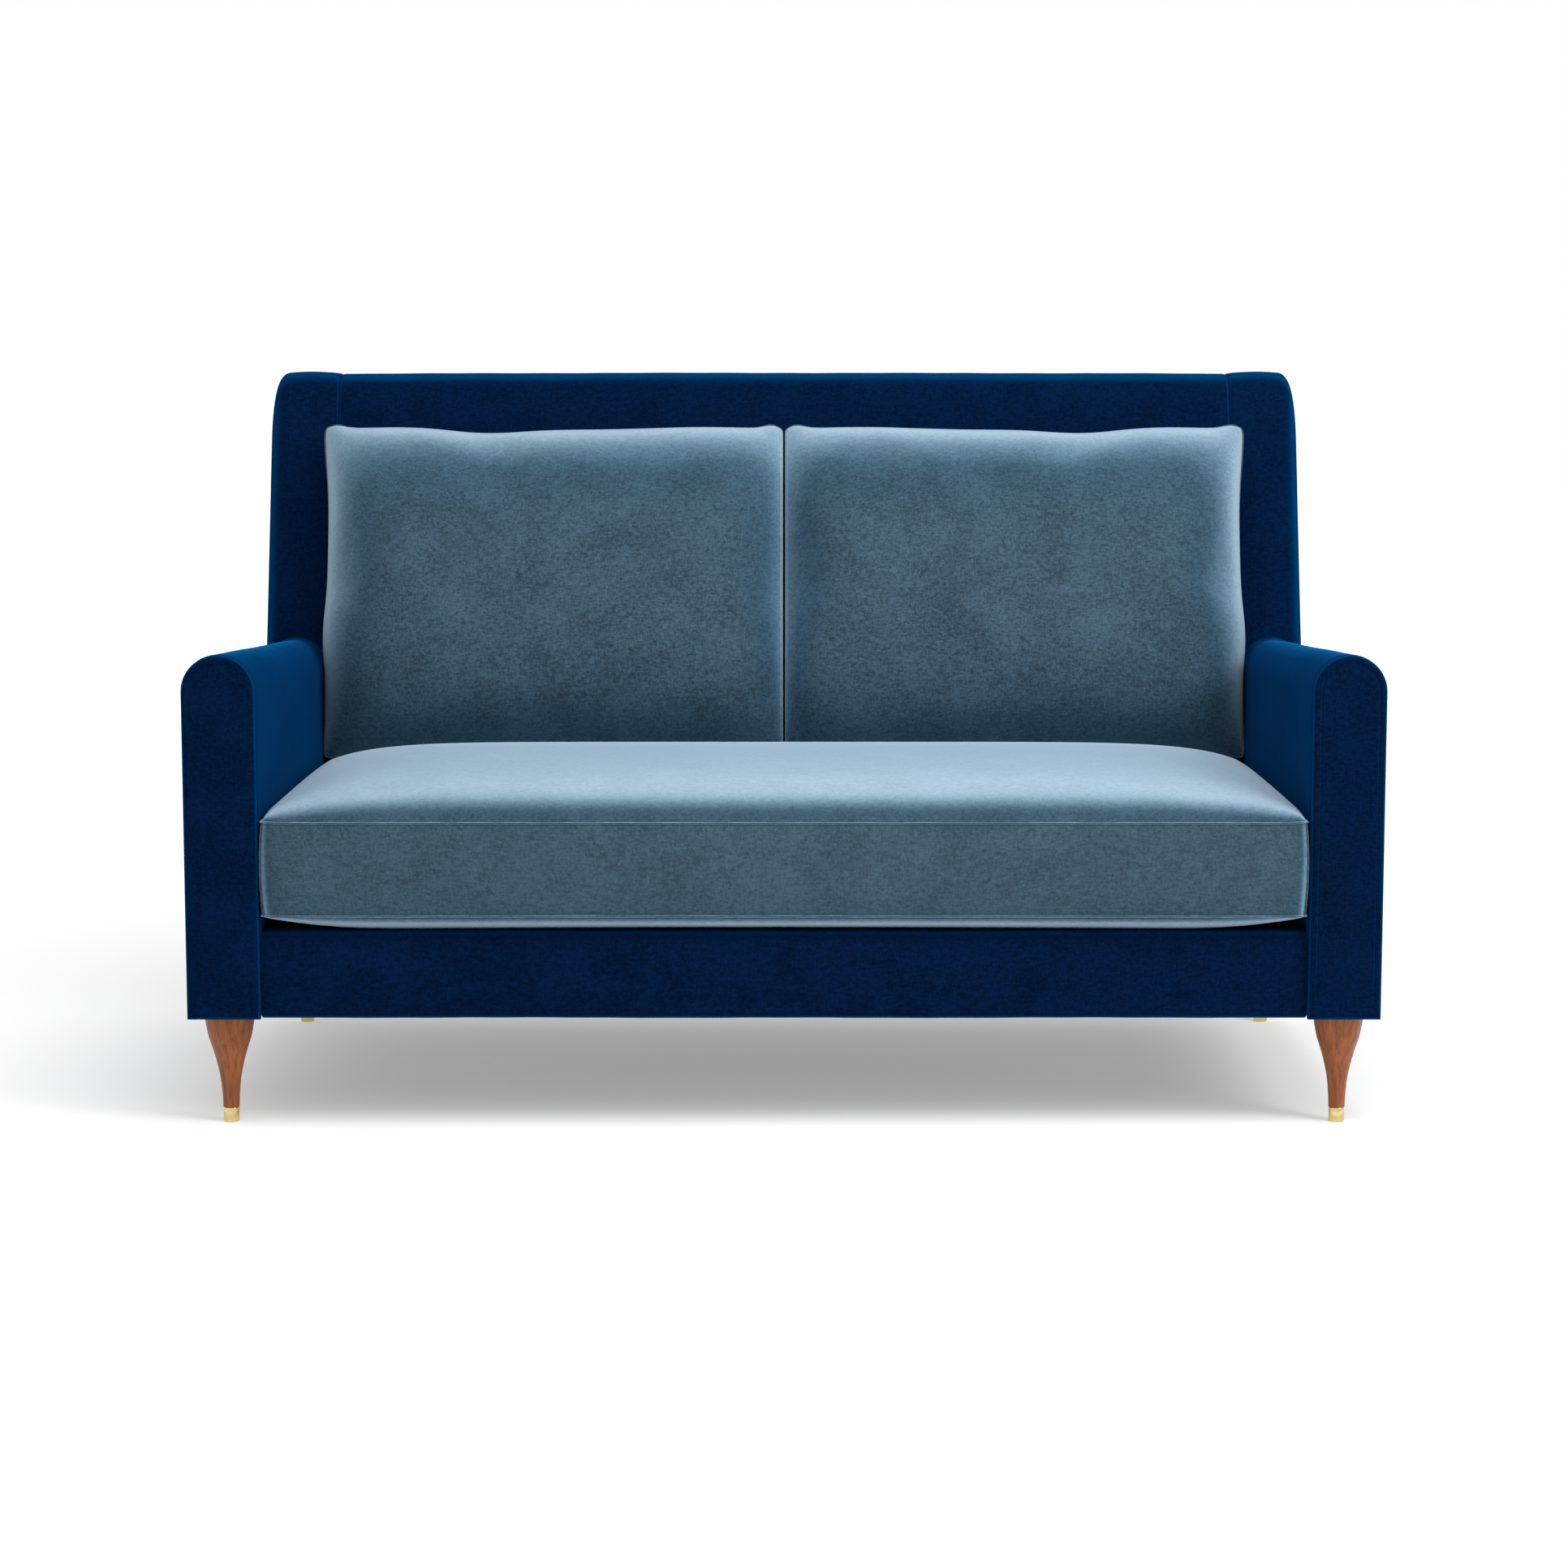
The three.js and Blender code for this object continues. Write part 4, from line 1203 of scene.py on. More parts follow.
@dataclass
class Leg:
    """One turned leg in its brass ferrule."""

    place: Corners
    wardrobe: Wardrobe
    curve: tuple[Pair, ...] = (
        (0.33, 0.0), (0.347, 0.12), (0.38, 0.226), (0.43, 0.33), (0.51, 0.435), (0.61, 0.54),
        (0.73, 0.643), (0.86, 0.748), (0.94, 0.852), (0.988, 0.933), (1.0, 0.985))
    shoulder: float = 0.0015
    ferrule_bevel: float = 0.0009
    ferrule_wall: float = 0.0012
    lip_gap: float = 0.0002
    bore_gap: float = 0.0003
    flare_steps: int = 6
    ferrule_sharp: float = math.radians(50.0)

    def build(self) -> None:
        """Makes the leg and its ferrule: outlines of radius and height, turned round the leg's axis."""
        low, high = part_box(f"leg_{self.place.value}")
        cup_low, cup_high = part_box(f"ferrule_{self.place.value}")
        centre = ((low.x + high.x) / 2.0, (low.y + high.y) / 2.0)
        widest = (high.x - low.x) / 2.0
        cup = (cup_high.x - cup_low.x) / 2.0
        ankle, top = cup_high.z + self.lip_gap, high.z
        shares = np.array(self.curve)
        heights = ankle + (top - ankle) * shares[:, 1]
        flare = smooth_through(np.stack([widest * shares[:, 0], heights], axis=1), self.flare_steps)
        spigot = cup - self.ferrule_wall - self.bore_gap
        soft = self.shoulder / 3.0
        outline = np.vstack([
            [[0.0, low.z], [spigot, low.z], [spigot, ankle]], flare,
            [[widest - soft, top - soft], [widest - self.shoulder, top], [0.0, top]]])
        leg = make_piece(f"turned_leg_{self.place.value}", [lathe(outline, centre)])
        bevel, rim = self.ferrule_bevel, cup_high.z
        bore, well = cup - self.ferrule_wall, low.z - self.bore_gap
        shell = np.array([
            (0.0, 0.0), (cup - bevel, 0.0), (cup - bevel / 3.0, bevel / 3.0), (cup, bevel),
            (cup, rim - bevel), (cup - bevel / 3.0, rim - bevel / 3.0),
            (cup - bevel * 0.9, rim), (bore, rim), (bore, well), (0.0, well)])
        ferrule = make_piece(f"turned_ferrule_{self.place.value}", [lathe(shell, centre)],
                             sharp=self.ferrule_sharp)
        for piece, node, slot in ((leg, "leg", "walnut"), (ferrule, "ferrule", "brass")):
            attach(piece, "frame")
            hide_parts(f"{node}_{self.place.value}")
            self.wardrobe.dress(piece, slot)
            log.info("%s made", piece.name)


def edge_shares(count: int, crowding: float = 0.55) -> Points:
    """Steps from -1 to 1, somewhat closer at both ends: even steps mixed with those of a sine curve.

    Args:
        count: How many steps.
        crowding: Share of the sine curve.

    Returns:
        The steps' ends.
    """
    even = np.linspace(-1.0, 1.0, count + 1)
    return (1.0 - crowding) * even + crowding * np.sin(even * math.pi / 2.0)


def bell(value: Points, shape: Triple) -> Points:
    """Bell curve: its height times the exponential of less the square of the distance over the half width.

    Args:
        value: Where on the curve.
        shape: The curve's height, the place of its middle and its half width.

    Returns:
        The curve's height there.
    """
    height, middle, width = shape
    return height * np.exp(-((value - middle) / width) ** 2)


def signed_power(value: Points, power: float) -> Points:
    """Power of a value's size with the value's sign kept."""
    return np.sign(value) * np.abs(value) ** power


@dataclass
class StuffedPiece:
    """A stuffed cover: two panels over one plan and, where it has one, the boxing between their edges."""

    name: str
    columns: int
    rows: int
    upper: Surface
    lower: Surface
    boxing: Callable[[Points, Points, Points], Points] | None = None
    bands: int = 0
    seam_places: list[Points] = field(default_factory=list)

    def plan(self) -> tuple[Points, Points]:
        """The plan's coordinates u and v, as grids from -1 to 1."""
        return np.meshgrid(edge_shares(self.columns), edge_shares(self.rows), indexing="ij")

    def rim(self) -> tuple[Points, Points]:
        """The plan's coordinates along its rim, once round.

        Returns:
            Coordinates u and v of the rim's points.
        """
        u, v = edge_shares(self.columns), edge_shares(self.rows)
        ring_u = np.concatenate([u[:-1], np.ones(self.rows), u[:0:-1], -np.ones(self.rows)])
        ring_v = np.concatenate([-np.ones(self.columns), v[:-1], np.ones(self.columns), v[:0:-1]])
        return ring_u, ring_v

    def sew(self) -> bpy.types.Object:
        """Sews the panels into one closed cover and notes where its seams run.

        Returns:
            The cover.
        """
        u, v = self.plan()
        rim_u, rim_v = self.rim()
        sheets = [Sheet(self.upper(u, v)), Sheet(self.lower(u, v))]
        if self.boxing is not None:
            band = np.linspace(0.0, 1.0, self.bands + 1)[:, None]
            sheets.append(Sheet(self.boxing(rim_u[None], rim_v[None], band), ring=True))
            self.seam_places.append(self.lower(rim_u, rim_v))
        self.seam_places.append(self.upper(rim_u, rim_v))
        return make_piece(self.name, sheets, sharp=math.radians(180.0))

    def seam_points(self, cover: bpy.types.Object) -> list[Points]:
        """Finds the seams on the cover.

        Args:
            cover: The sewn cover.

        Returns:
            For each seam the numbers of the cover's points on it, in order round it.
        """
        tree = KDTree(len(cover.data.vertices))
        for vertex in cover.data.vertices:
            tree.insert(vertex.co, vertex.index)
        tree.balance()
        return [np.array([tree.find(Vector(place))[1] for place in seam]) for seam in self.seam_places]


def places_of(mesh: bpy.types.Mesh) -> Points:
    """Reads a mesh's points.

    Args:
        mesh: The mesh.

    Returns:
        The points, one row each.
    """
    flat = np.empty(len(mesh.vertices) * 3, dtype=np.float32)
    mesh.vertices.foreach_get("co", flat)
    return flat.reshape(-1, 3).astype(float)


def put_points(cover: bpy.types.Object, at: Points) -> None:
    """Puts a cover's points where they should be."""
    cover.data.vertices.foreach_set("co", at.astype(np.float32).ravel())
    cover.data.update()


def evened(values: Points, mesh: bpy.types.Mesh, rounds: int) -> Points:
    """Evens out values over a mesh.

    In each round a point takes the mean of its own value and its neighbours' mean.

    Args:
        values: One row for each of the mesh's points.
        mesh: The mesh whose edges say which points are neighbours.
        rounds: How many times to do it.

    Returns:
        The evened values.
    """
    pairs = np.empty(len(mesh.edges) * 2, dtype=np.int64)
    mesh.edges.foreach_get("vertices", pairs)
    pairs = pairs.reshape(-1, 2)
    ends = np.concatenate([pairs, pairs[:, ::-1]])
    count = np.bincount(ends[:, 0], minlength=len(values))[:, None]
    for _ in range(rounds):
        total = np.zeros_like(values)
        np.add.at(total, ends[:, 0], values[ends[:, 1]])
        values = (values + total / np.maximum(count, 1)) / 2.0
    return values


@dataclass(frozen=True)
class Filling:
    """How a cover is filled: the cloth is cut wider by its growth, and a point moves at most by the cap."""

    cap: float
    growth: float = 0.0
    pressure: float = 2.5
    frames: int = 20
    evening_rounds: int = 30

    def cloth_settings(self) -> dict[str, float]:
        """Settings of the cloth that is filled.

        Returns:
            Value by name.
        """
        return {
            "quality": 5, "mass": 0.2, "tension_stiffness": 25.0, "compression_stiffness": 10.0,
            "shear_stiffness": 6.0, "bending_stiffness": 4.0, "air_damping": 3.0, "shrink_min": -self.growth,
            "use_pressure": True, "uniform_pressure_force": self.pressure}


def stuff(cover: bpy.types.Object, pinned: Points, filling: Filling) -> None:
    """Fills a cover from inside with a cloth simulation and keeps the result in its mesh.

    A point's move keeps its direction. Its size becomes the cap times the hyperbolic tangent of the size over
    the cap. Then the moves are evened over the mesh.

    Args:
        cover: The closed cover.
        pinned: Numbers of the points that the seams hold.
        filling: How it is filled.
    """
    group = cover.vertex_groups.new(name="seams")
    group.add([int(number) for number in np.unique(pinned)], 1.0, "REPLACE")
    cloth = cover.modifiers.new("filling", "CLOTH")
    for name, value in filling.cloth_settings().items():
        setattr(cloth.settings, name, value)
    cloth.settings.vertex_group_mass = group.name
    cloth.settings.effector_weights.gravity = 0.0
    cloth.point_cache.frame_start = 1
    cloth.point_cache.frame_end = filling.frames
    scene = bpy.context.scene
    for number in range(1, filling.frames + 1):
        scene.frame_set(number)
    before = places_of(cover.data)
    filled = cover.evaluated_get(bpy.context.evaluated_depsgraph_get())
    move = places_of(filled.data) - before
    cover.modifiers.remove(cloth)
    cover.vertex_groups.remove(group)
    scene.frame_set(1)
    size = np.linalg.norm(move, axis=1, keepdims=True)
    log.info("%s filled: points moved %.1f mm before the cap", cover.name, float(size.max()) * 1000.0)
    move *= filling.cap * np.tanh(size / filling.cap) / np.maximum(size, 1e-9)
    put_points(cover, before + evened(move, cover.data, filling.evening_rounds))


def refine(cover: bpy.types.Object) -> None:
    """Adds one level of subdivision.

    Args:
        cover: The cover to refine.
    """
    finer = cover.modifiers.new("finer", "SUBSURF")
    finer.levels = 1
    finer.render_levels = 1


@dataclass
class SeatCushion:
    """Bench cushion: a crowned top that rolls over at its edges, boxing between two seams, and a belly."""

    carcass: Carcass
    wardrobe: Wardrobe
    lower_seam: float = 0.290
    upper_seam: float = 0.417
    crown: float = 0.060
    side_roll: Triple = (8.0, 40.0, 0.2)
    front_roll: Triple = (2.2, 20.0, 0.42)
    rear_power: float = 2.2
    belly_powers: Triple = (10.0, 16.0, 0.6)
    edge: float = 0.0135
    edge_powers: Triple = (120, 24, 0.8)
    front_proud: float = 0.002
    side_clearance: float = 0.0004
    rear_clearance: float = 0.001
    deck_clearance: float = 0.0004
    filled_clearance: float = 0.0003
    bulge: float = 0.0028
    bulge_power: float = 12
    upper_corner: float = 0.010
    lower_corner: float = 0.012
    corner_power: float = 80
    corner_squeeze: float = 0.22
    side_draw: float = 0.0012
    piping: float = 0.0014
    piping_proud: float = 0.0004
    piping_corner_power: float = 30
    steps: tuple[int, int, int] = (136, 76, 14)
    filling: Filling = Filling(cap=0.004)

    @property
    def half_width(self) -> float:
        """Half the width between the seams' ends."""
        return self.carcass.inner - self.side_clearance - self.bulge

    def rise(self, u: Points, v: Points) -> Points:
        """Height of the crown over the upper seam.

        It is a product across and along. Each factor is one less a power of the coordinate. At the sides and
        the front a share of a higher power is mixed in, which makes the edge roll over. A low plump edge is
        added: such factors again, of much higher powers, the one across under a square root.

        Args:
            u: Across, from -1 to 1.
            v: Along, -1 at the front and 1 at the back.

        Returns:
            The height.
        """
        side, side_edge, side_share = self.side_roll
        front, front_edge, front_share = self.front_roll
        across = 1.0 - (1.0 - side_share) * np.abs(u) ** side - side_share * np.abs(u) ** side_edge
        ahead = 1.0 - (1.0 - front_share) * np.abs(v) ** front - front_share * np.abs(v) ** front_edge
        broad = across * np.where(v < 0.0, ahead, 1.0 - np.abs(v) ** self.rear_power)
        side_plump, front_plump, soften = self.edge_powers
        plump = (np.sqrt(np.clip(1.0 - np.abs(u) ** side_plump, 0.0, 1.0))
                 * np.clip(1.0 - np.abs(v) ** front_plump, 0.0, 1.0) ** soften)
        return (self.crown - self.edge) * broad + self.edge * plump

    def plan(self, u: Points, v: Points, rear: float, pull: float) -> tuple[Points, Points]:
        """Place on a seam's plan: a rectangle, its corners pulled round and its sides drawn in between them.

        The pull at a corner is a high power of the coordinates' product, and a side's draw-in a parabola.

        Args:
            u: Across, from -1 to 1.
            v: Along, -1 at the front and 1 at the back.
            rear: Y of the seam's rear.
            pull: How far the corners are pulled in.

        Returns:
            X and Y of the place.
        """
        corner = pull * np.abs(u * v) ** self.corner_power
        drawn = self.corner_squeeze * corner + self.side_draw * np.abs(u) * (1.0 - v * v)
        x = self.half_width * u - np.sign(u) * drawn
        front = self.carcass.front - self.front_proud
        y = (front + rear) / 2.0 + (rear - front) / 2.0 * v - np.sign(v) * corner
        return x, y

    def top(self, u: Points, v: Points) -> Points:
        """Top panel: the crown over the upper seam's plan.

        Args:
            u: Across, from -1 to 1.
            v: Along, -1 at the front and 1 at the back.

        Returns:
            The places.
        """
        rear = self.carcass.inside_back(self.upper_seam) - self.rear_clearance
        x, y = self.plan(u, v, rear, self.upper_corner)
        return np.stack([x, y, self.upper_seam + self.rise(u, v)], axis=-1)

    def underside(self, u: Points, v: Points) -> Points:
        """Lower panel: a belly that rests on the deck. Its depth is a power of a product of two factors, each
        one less a power of a coordinate.

        Args:
            u: Across, from -1 to 1.
            v: Along, -1 at the front and 1 at the back.

        Returns:
            The places.
        """
        rear = self.carcass.inside_back(self.lower_seam) - self.rear_clearance
        x, y = self.plan(u, v, rear, self.lower_corner)
        across, along, roll = self.belly_powers
        depth = self.lower_seam - self.carcass.deck - self.deck_clearance
        belly = depth * ((1.0 - np.abs(u) ** across) * (1.0 - np.abs(v) ** along)) ** roll
        return np.stack([x, y, self.lower_seam - belly], axis=-1)

    def boxing(self, u: Points, v: Points, share: Points) -> Points:
        """Boxing: straight from seam to seam, plus a bulge outwards that is a parabola of its height.

        The bulge points to the sides and the front by high powers of the coordinates.

        Args:
            u: Across, from -1 to 1.
            v: Along, -1 at the front and 1 at the back.
            share: Height on the boxing, 0 at the lower seam and 1 at the upper one.

        Returns:
            The places.
        """
        low, high = self.underside(u, v), self.top(u, v)
        straight = low * (1.0 - share[..., None]) + high * share[..., None]
        bulge = self.bulge * 4.0 * share * (1.0 - share)
        return straight + np.stack([
            bulge * signed_power(u, self.bulge_power),
            bulge * signed_power(np.minimum(v, 0.0), self.bulge_power),
            0.0 * bulge * u], axis=-1)

    def settle(self, cover: bpy.types.Object) -> None:
        """Keeps the filled cushion off the arms, the deck and the back, by limits to its points' places.

        Args:
            cover: The cushion's cover.
        """
        case = self.carcass
        at = places_of(cover.data)
        limit = case.inner - self.side_clearance / 2.0
        at[:, 0] = np.clip(at[:, 0], -limit, limit)
        at[:, 2] = np.maximum(at[:, 2], case.deck + self.filled_clearance)
        at[:, 1] = np.minimum(at[:, 1], case.inside_back(at[:, 2]) - self.rear_clearance / 2.0)
        put_points(cover, at)

    def cord_path(self, at: Points) -> Points:
        """Line of the piping: the seam's points, set a little outwards from the cushion's middle.

        Outwards is sideways by a high power of the place across, and fore or aft by what is left of one.

        Args:
            at: Points of the seam.

        Returns:
            Points of the piping's centre line.
        """
        sideways = np.clip(np.abs(at[:, :1]) / self.half_width, 0.0, 1.0) ** self.piping_corner_power
        outward = np.concatenate([np.sign(at[:, :1]) * sideways, np.sign(at[:, 1:2]) * (1.0 - sideways),
                                  0.0 * sideways], axis=1)
        moved = at + self.piping_proud * outward
        limit = self.carcass.inner - self.piping - self.side_clearance / 2.0
        moved[:, 0] = np.clip(moved[:, 0], -limit, limit)
        return moved

    def build(self) -> None:
        """Makes the cushion and the piping along its seams."""
        columns, rows, bands = self.steps
        form = StuffedPiece("seat_cushion_velvet", columns, rows, self.top, self.underside, self.boxing,
                            bands)
        cover = form.sew()
        seams = form.seam_points(cover)
        stuff(cover, np.concatenate(seams), self.filling)
        self.settle(cover)
        at = places_of(cover.data)
        up = np.array([0.0, 0.0, 1.0])
        cords = [tube(self.cord_path(at[seam]), self.piping, up, closed=True) for seam in seams]
        piping = make_piece("seat_cushion_piping", cords)
        refine(cover)
        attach(cover, "seat_cushion")
        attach(piping, "seat_cushion")
        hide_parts("seat_cushion")
        # The seat wears the blue velvet's copy whose painted sheen and shade are set for the seat.
        for piece in (cover, piping):
            self.wardrobe.dress(piece, "blue_velvet", "seat")
        log.info("%s made", cover.name)


@dataclass
class BackCushion:
    """Loose back cushion: knife-edged, with plump upper corners and an upper edge that sags unevenly."""

    arm: Arm
    side: Side = field(init=False)
    carcass: Carcass = field(init=False)
    wardrobe: Wardrobe = field(init=False)
    height: float = 0.521
    fullness: float = 0.105
    seam_setout: float = 0.045
    front_powers: Quadruple = (8.5, 3.8, 2.4, 0.5)
    rear_powers: Quadruple = (8.0, 8.0, 8.0, 0.6)
    middle_gap: float = 0.0028
    arm_gap: float = 0.0015
    press: float = 0.02
    press_power: float = 6
    ear: Triple = (0.009, 0.97, 0.33)
    side_swell: Triple = (0.0055, -0.28, 0.22)
    swell_power: float = 3
    top_sag: float = 0.005
    ear_lift: Triple = (0.005, 0.955, 0.05)
    top_dent: Triple = (0.0105, 0.3, 0.22)
    top_dip: Triple = (0.0035, -0.15, 0.3)
    sag_power: float = 9
    corner_pull: float = 0.003
    corner_power: float = 33
    hollow: Triple = (0.002, 0.3, 0.2)
    hollow_height: Pair = (0.9, 0.16)
    pinch: float = 0.6
    pinch_power: float = 5
    clearance: float = 0.0006
    piping: float = 0.0009
    steps: tuple[int, int] = (96, 80)
    filling: Filling = Filling(cap=0.006, growth=0.004)

    def __post_init__(self) -> None:
        """Takes over the side, the carcass and the finishes of the arm beside the cushion."""
        self.side, self.carcass, self.wardrobe = self.arm.side, self.arm.carcass, self.arm.wardrobe

    @property
    def along(self) -> Points:
        """Direction up the inside back."""
        rake = self.carcass.inside_rake
        return np.array([0.0, math.sin(rake), math.cos(rake)])

    @property
    def forward(self) -> Points:
        """Direction straight out of the inside back."""
        rake = self.carcass.inside_rake
        return np.array([0.0, -math.cos(rake), math.sin(rake)])

    @property
    def foot(self) -> Points:
        """Point on the inside back from which heights along it count, the cushion's bottom edge at rest."""
        low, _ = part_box(f"back_cushion_{self.side.word}")
        z = low.z - math.sin(self.carcass.inside_rake) * self.seam_setout
        return np.array([0.0, self.carcass.inside_back(z), z])

    def spot(self, u: Points, v: Points, setout: Points) -> Points:
        """Place on the cushion.

        It starts from a rectangle along the back. The arm's side stands out by an ear at the top and by a
        swell above the arm, both bell curves of the height. The upper edge is lifted at its corners, sags
        evenly between them and has a dent and a dip, all bell curves of the width. Corners are pulled round.
        Between its corners the inner side reaches past the middle, where its twin flattens it later.

        Args:
            u: Across, -1 at the settee's middle and 1 at the arm.
            v: Up, -1 at the bottom edge and 1 at the top.
            setout: Distance in front of the inside back.

        Returns:
            The places.
        """
        inner = self.middle_gap - self.press * (1.0 - np.abs(v) ** self.press_power)
        outer = self.carcass.inner - self.arm_gap
        swell = bell(v, self.ear) + bell(v, self.side_swell)
        sag = self.top_sag - bell(np.abs(u), self.ear_lift) + bell(u, self.top_dent) + bell(u, self.top_dip)
        corner = self.corner_pull * np.abs(u * v) ** self.corner_power
        x = (inner + outer) / 2.0 + (outer - inner) / 2.0 * u - np.sign(u) * corner
        x += np.clip(u, 0.0, None) ** self.swell_power * swell
        sunk = sag * np.clip(v, 0.0, None) ** self.sag_power
        rise = self.height * (v + 1.0) / 2.0 - sunk - np.sign(v) * corner
        at = self.foot + rise[..., None] * self.along + setout[..., None] * self.forward
        at[..., 0] = self.side.value * x
        return at

    def puffed(self, u: Points, v: Points, powers: Quadruple) -> Points:
        """Share of the full thickness: flat-topped across and up, steep at the seam, pinched at the corners.

        It is a power of a product of two factors, each one less a power of a coordinate, times one less a
        share of a power of the coordinates' product.

        Args:
            u: Across, -1 at the settee's middle and 1 at the arm.
            v: Up, -1 at the bottom edge and 1 at the top.
            powers: Quadruple across, upwards, downwards and of the product.

        Returns:
            The share.
        """
        across, up, down, roll = powers
        tall = 1.0 - np.where(v > 0.0, np.abs(v) ** up, np.abs(v) ** down)
        pinched = 1.0 - self.pinch * np.abs(u * v) ** self.pinch_power
        return ((1.0 - np.abs(u) ** across) * tall) ** roll * pinched

    def front(self, u: Points, v: Points) -> Points:
        """Front panel, with a shallow hollow where the upper edge has its dent.

        Args:
            u: Across, -1 at the settee's middle and 1 at the arm.
            v: Up, -1 at the bottom edge and 1 at the top.

        Returns:
            The places.
        """
        dent = bell(u, self.hollow) * bell(v, (1.0, *self.hollow_height))
        full = self.fullness * self.puffed(u, v, self.front_powers)
        return self.spot(u, v, self.seam_setout + full - dent)

    def rear(self, u: Points, v: Points) -> Points:
        """Rear panel, which lies against the inside back."""
        reach = self.seam_setout - self.clearance
        return self.spot(u, v, self.seam_setout - reach * self.puffed(u, v, self.rear_powers))

    def settle(self, cover: bpy.types.Object, seat: SeatCushion) -> None:
        """Keeps the filled cushion off the inside back, the arm, the seat cushion and its twin.

        Points behind the inside back move straight out of it. Across, points stay between half the middle gap
        and the arm, whose crest is a circle that falls towards the back. Over the seat cushion they stay
        above its crown.

        Args:
            cover: The cushion's cover.
            seat: The seat cushion that it rests on.
        """
        case = self.carcass
        at = places_of(cover.data)
        y0, z0 = case.inside_foot
        behind = (at[:, 1] - y0) * math.cos(case.inside_rake) - (at[:, 2] - z0) * math.sin(case.inside_rake)
        at += np.clip(behind + self.clearance, 0.0, None)[:, None] * self.forward
        radius = self.arm.radius
        springing = self.arm.springing - self.arm.slope * (at[:, 1] - case.front)
        above = np.clip(at[:, 2] - springing, 0.0, radius)
        beside = case.inner + radius - np.sqrt(radius ** 2 - above ** 2)
        across = np.clip(self.side.value * at[:, 0], self.middle_gap / 2.0, beside - self.clearance)
        at[:, 0] = self.side.value * across
        rear = case.inside_back(seat.upper_seam)
        u = at[:, 0] / seat.half_width
        v = (2.0 * at[:, 1] - rear - case.front) / (rear - case.front)
        over = (np.abs(u) < 1.0) & (np.abs(v) < 1.0)
        crown = seat.upper_seam + seat.rise(np.clip(u, -1.0, 1.0), np.clip(v, -1.0, 1.0))
        at[:, 2] = np.where(over, np.maximum(at[:, 2], crown + self.clearance), at[:, 2])
        put_points(cover, at)

    def build(self, seat: SeatCushion) -> None:
        """Makes the cushion and the fine cord on its edge.

        Args:
            seat: The seat cushion that it rests on.
        """
        word = self.side.word
        form = StuffedPiece(f"back_cushion_velvet_{word}", *self.steps, self.front, self.rear)
        cover = form.sew()
        seam = form.seam_points(cover)[0]
        stuff(cover, seam, self.filling)
        self.settle(cover, seat)
        path = places_of(cover.data)[seam]
        nearest = self.middle_gap / 2.0 + self.piping
        path[:, 0] = self.side.value * np.maximum(self.side.value * path[:, 0], nearest)
        cord = make_piece(f"back_cushion_piping_{word}", [
            tube(path, self.piping, self.forward, closed=True)])
        refine(cover)
        body = f"back_cushion_{word}"
        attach(cover, body)
        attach(cord, body)
        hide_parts(body)
        for piece in (cover, cord):
            self.wardrobe.dress(piece, "blue_velvet")
        log.info("%s made", cover.name)


@dataclass(frozen=True)
class Softbox:
    """Square soft lamp that faces the middle of the settee."""

    name: str
    place: Triple
    size: float
    power: float
    aim: Triple = (0.0, 0.0, 0.4)

    def hang(self) -> None:
        """Hangs the lamp."""
        data = bpy.data.lights.new(self.name, "AREA")
        data.shape = "SQUARE"
        data.size = self.size
        data.energy = self.power
        lamp = bpy.data.objects.new(self.name, data)
        lamp.location = self.place
        lamp.rotation_euler = (Vector(self.place) - Vector(self.aim)).to_track_quat("Z", "Y").to_euler()
        bpy.context.scene.collection.objects.link(lamp)


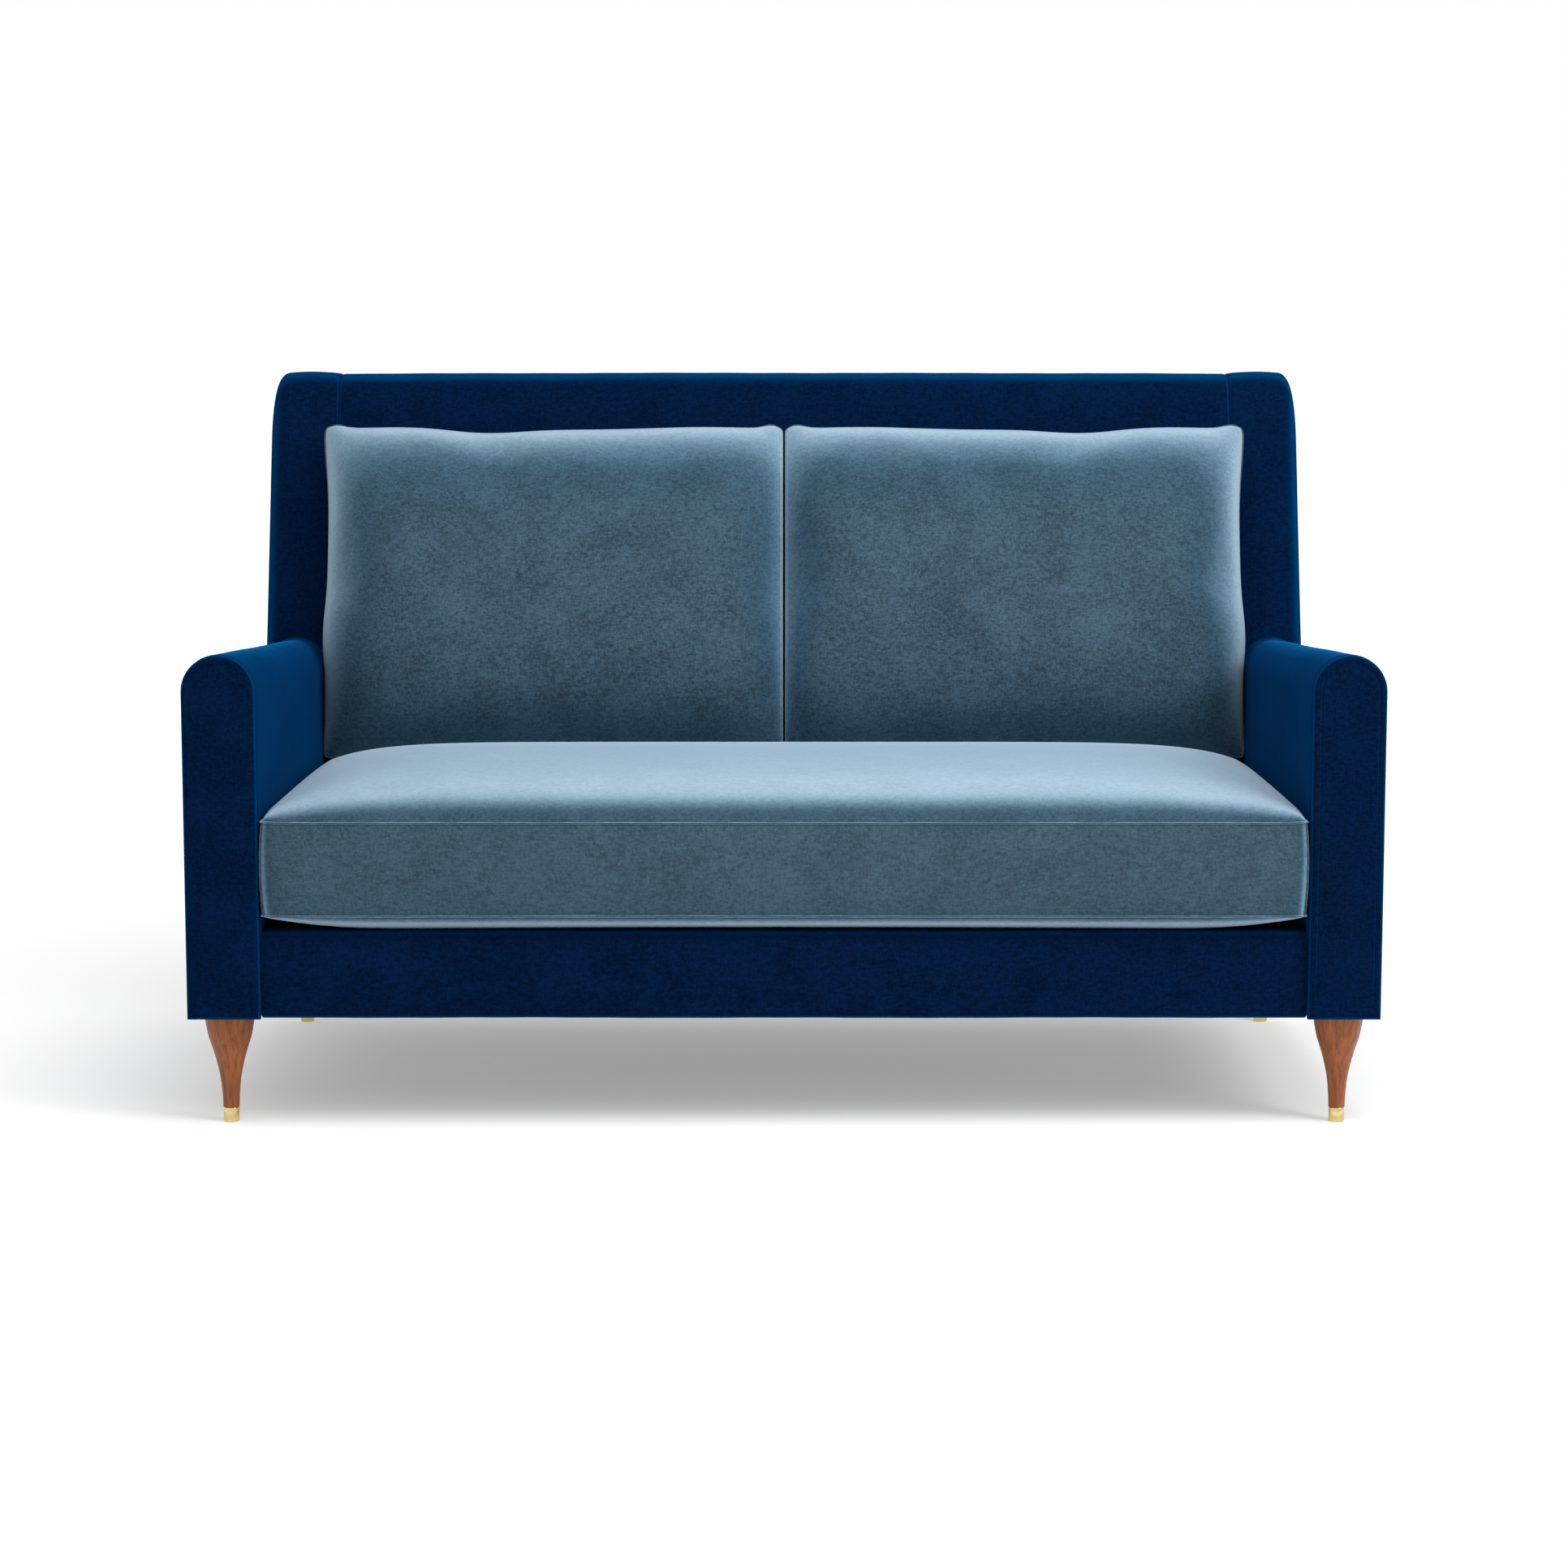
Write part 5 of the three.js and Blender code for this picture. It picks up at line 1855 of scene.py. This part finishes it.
@dataclass
class Studio:
    """Pale floor, plain soft light and the camera."""

    carcass: Carcass
    focal_pixels: float = 4100.0
    picture_pixels: float = 1932.0
    sensor: float = 36.0
    sight: float = 200.0
    tilt: float = math.radians(6.7)
    distance: float = 4.381
    eye: float = 0.983
    floor_size: float = 60.0
    floor_colour: Quadruple = (0.92, 0.92, 0.92, 1.0)
    world_colour: Quadruple = (1.0, 1.0, 1.0, 1.0)
    world_strength: float = 0.57
    floor_glow: Pair = (0.3, 0.8)
    glow_reach: Pair = (1.3, 4.0)
    softboxes: tuple[Softbox, ...] = (
        Softbox("top softbox", place=(0.3, -1.1, 3.1), size=2.4, power=54.0),
        Softbox("key softbox", place=(3.2, -2.4, 2.6), size=1.8, power=70.0))

    def camera(self) -> None:
        """Stands the camera before the arms' fronts, a little tilted down, at the photograph's angle."""
        data = bpy.data.cameras.new("camera")
        data.sensor_width = self.sensor
        data.lens = self.focal_pixels / self.picture_pixels * self.sensor
        data.clip_end = self.sight
        camera = bpy.data.objects.new("camera", data)
        camera.location = (0.0, self.carcass.front - self.distance, self.eye)
        camera.rotation_euler = (math.pi / 2.0 - self.tilt, 0.0, 0.0)
        bpy.context.scene.collection.objects.link(camera)
        bpy.context.scene.camera = camera

    @staticmethod
    def seen_or_mirrored(nodes: bpy.types.Nodes, links: bpy.types.NodeLinks) -> Socket:
        """Tells the rays that the camera sends, straight, by a mirror or through glass, from the rest.

        Args:
            nodes: Nodes to add to.
            links: Links between them.

        Returns:
            One for such rays and zero for the rest.
        """
        path = nodes.new("ShaderNodeLightPath")
        total = path.outputs["Is Camera Ray"]
        for kind in ("Is Glossy Ray", "Is Transmission Ray"):
            larger = nodes.new("ShaderNodeMath")
            larger.operation = "MAXIMUM"
            links.new(total, larger.inputs[0])
            links.new(path.outputs[kind], larger.inputs[1])
            total = larger.outputs[0]
        return total

    def world(self) -> None:
        """White surroundings that the camera sees at full strength and the settee a little dimmer."""
        world = bpy.data.worlds.new("studio")
        world.use_nodes = True
        nodes, links = world.node_tree.nodes, world.node_tree.links
        nodes.clear()
        soft, bright = nodes.new("ShaderNodeBackground"), nodes.new("ShaderNodeBackground")
        soft.inputs["Strength"].default_value = self.world_strength
        for background in (soft, bright):
            background.inputs["Color"].default_value = self.world_colour
        mix, out = nodes.new("ShaderNodeMixShader"), nodes.new("ShaderNodeOutputWorld")
        links.new(self.seen_or_mirrored(nodes, links), mix.inputs[0])
        links.new(soft.outputs[0], mix.inputs[1])
        links.new(bright.outputs[0], mix.inputs[2])
        links.new(mix.outputs[0], out.inputs["Surface"])
        bpy.context.scene.world = world

    def floor(self) -> None:
        """White floor that keeps the shadow. A faint glow, stronger farther out, keeps it white there."""
        edges = np.array([-0.5, 0.5]) * self.floor_size
        x, y = np.meshgrid(edges, edges)
        floor = make_piece("studio_floor", [Sheet(np.stack([x, y, 0.0 * x], axis=-1))])
        material = bpy.data.materials.new("studio floor")
        material.use_nodes = True
        nodes, links = material.node_tree.nodes, material.node_tree.links
        nodes.clear()
        cover, glow = nodes.new("ShaderNodeBsdfDiffuse"), nodes.new("ShaderNodeEmission")
        cover.inputs["Color"].default_value = self.floor_colour
        scaled = nodes.new("ShaderNodeMath")
        scaled.operation = "MULTIPLY"
        links.new(self.seen_or_mirrored(nodes, links), scaled.inputs[0])
        place, away, glow_by = (nodes.new(kind) for kind in (
            "ShaderNodeTexCoord", "ShaderNodeVectorMath", "ShaderNodeMapRange"))
        away.operation = "LENGTH"
        glow_by.interpolation_type = "SMOOTHSTEP"
        limits = zip(("From Min", "From Max", "To Min", "To Max"), (*self.glow_reach, *self.floor_glow))
        for name, value in limits:
            glow_by.inputs[name].default_value = value
        links.new(place.outputs["Object"], away.inputs[0])
        links.new(away.outputs["Value"], glow_by.inputs["Value"])
        links.new(glow_by.outputs["Result"], scaled.inputs[1])
        links.new(scaled.outputs[0], glow.inputs["Strength"])
        both, out = nodes.new("ShaderNodeAddShader"), nodes.new("ShaderNodeOutputMaterial")
        links.new(cover.outputs[0], both.inputs[0])
        links.new(glow.outputs[0], both.inputs[1])
        links.new(both.outputs[0], out.inputs["Surface"])
        floor.data.materials.append(material)

    def build(self) -> None:
        """Sets up the studio."""
        self.camera()
        self.world()
        self.floor()
        for softbox in self.softboxes:
            softbox.hang()
        bpy.context.scene.view_settings.view_transform = "Standard"


def main() -> None:
    """Builds and dresses the settee, then the studio round it."""
    logging.basicConfig(level=logging.INFO, format="%(name)s: %(message)s")
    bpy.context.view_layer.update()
    carcass = Carcass.from_frame()
    wardrobe = Wardrobe.stocked()
    Studio(carcass).build()
    wardrobe.dress_nodes()
    arms = [Arm(side, carcass, wardrobe) for side in Side]
    for arm in arms:
        arm.build()
    Back(carcass, wardrobe).build()
    FrontRail(carcass, wardrobe).build()
    for place in Corners:
        Leg(place, wardrobe).build()
    seat = SeatCushion(carcass, wardrobe)
    seat.build()
    for arm in arms:
        BackCushion(arm).build(seat)


if __name__ == "__main__":
    main()
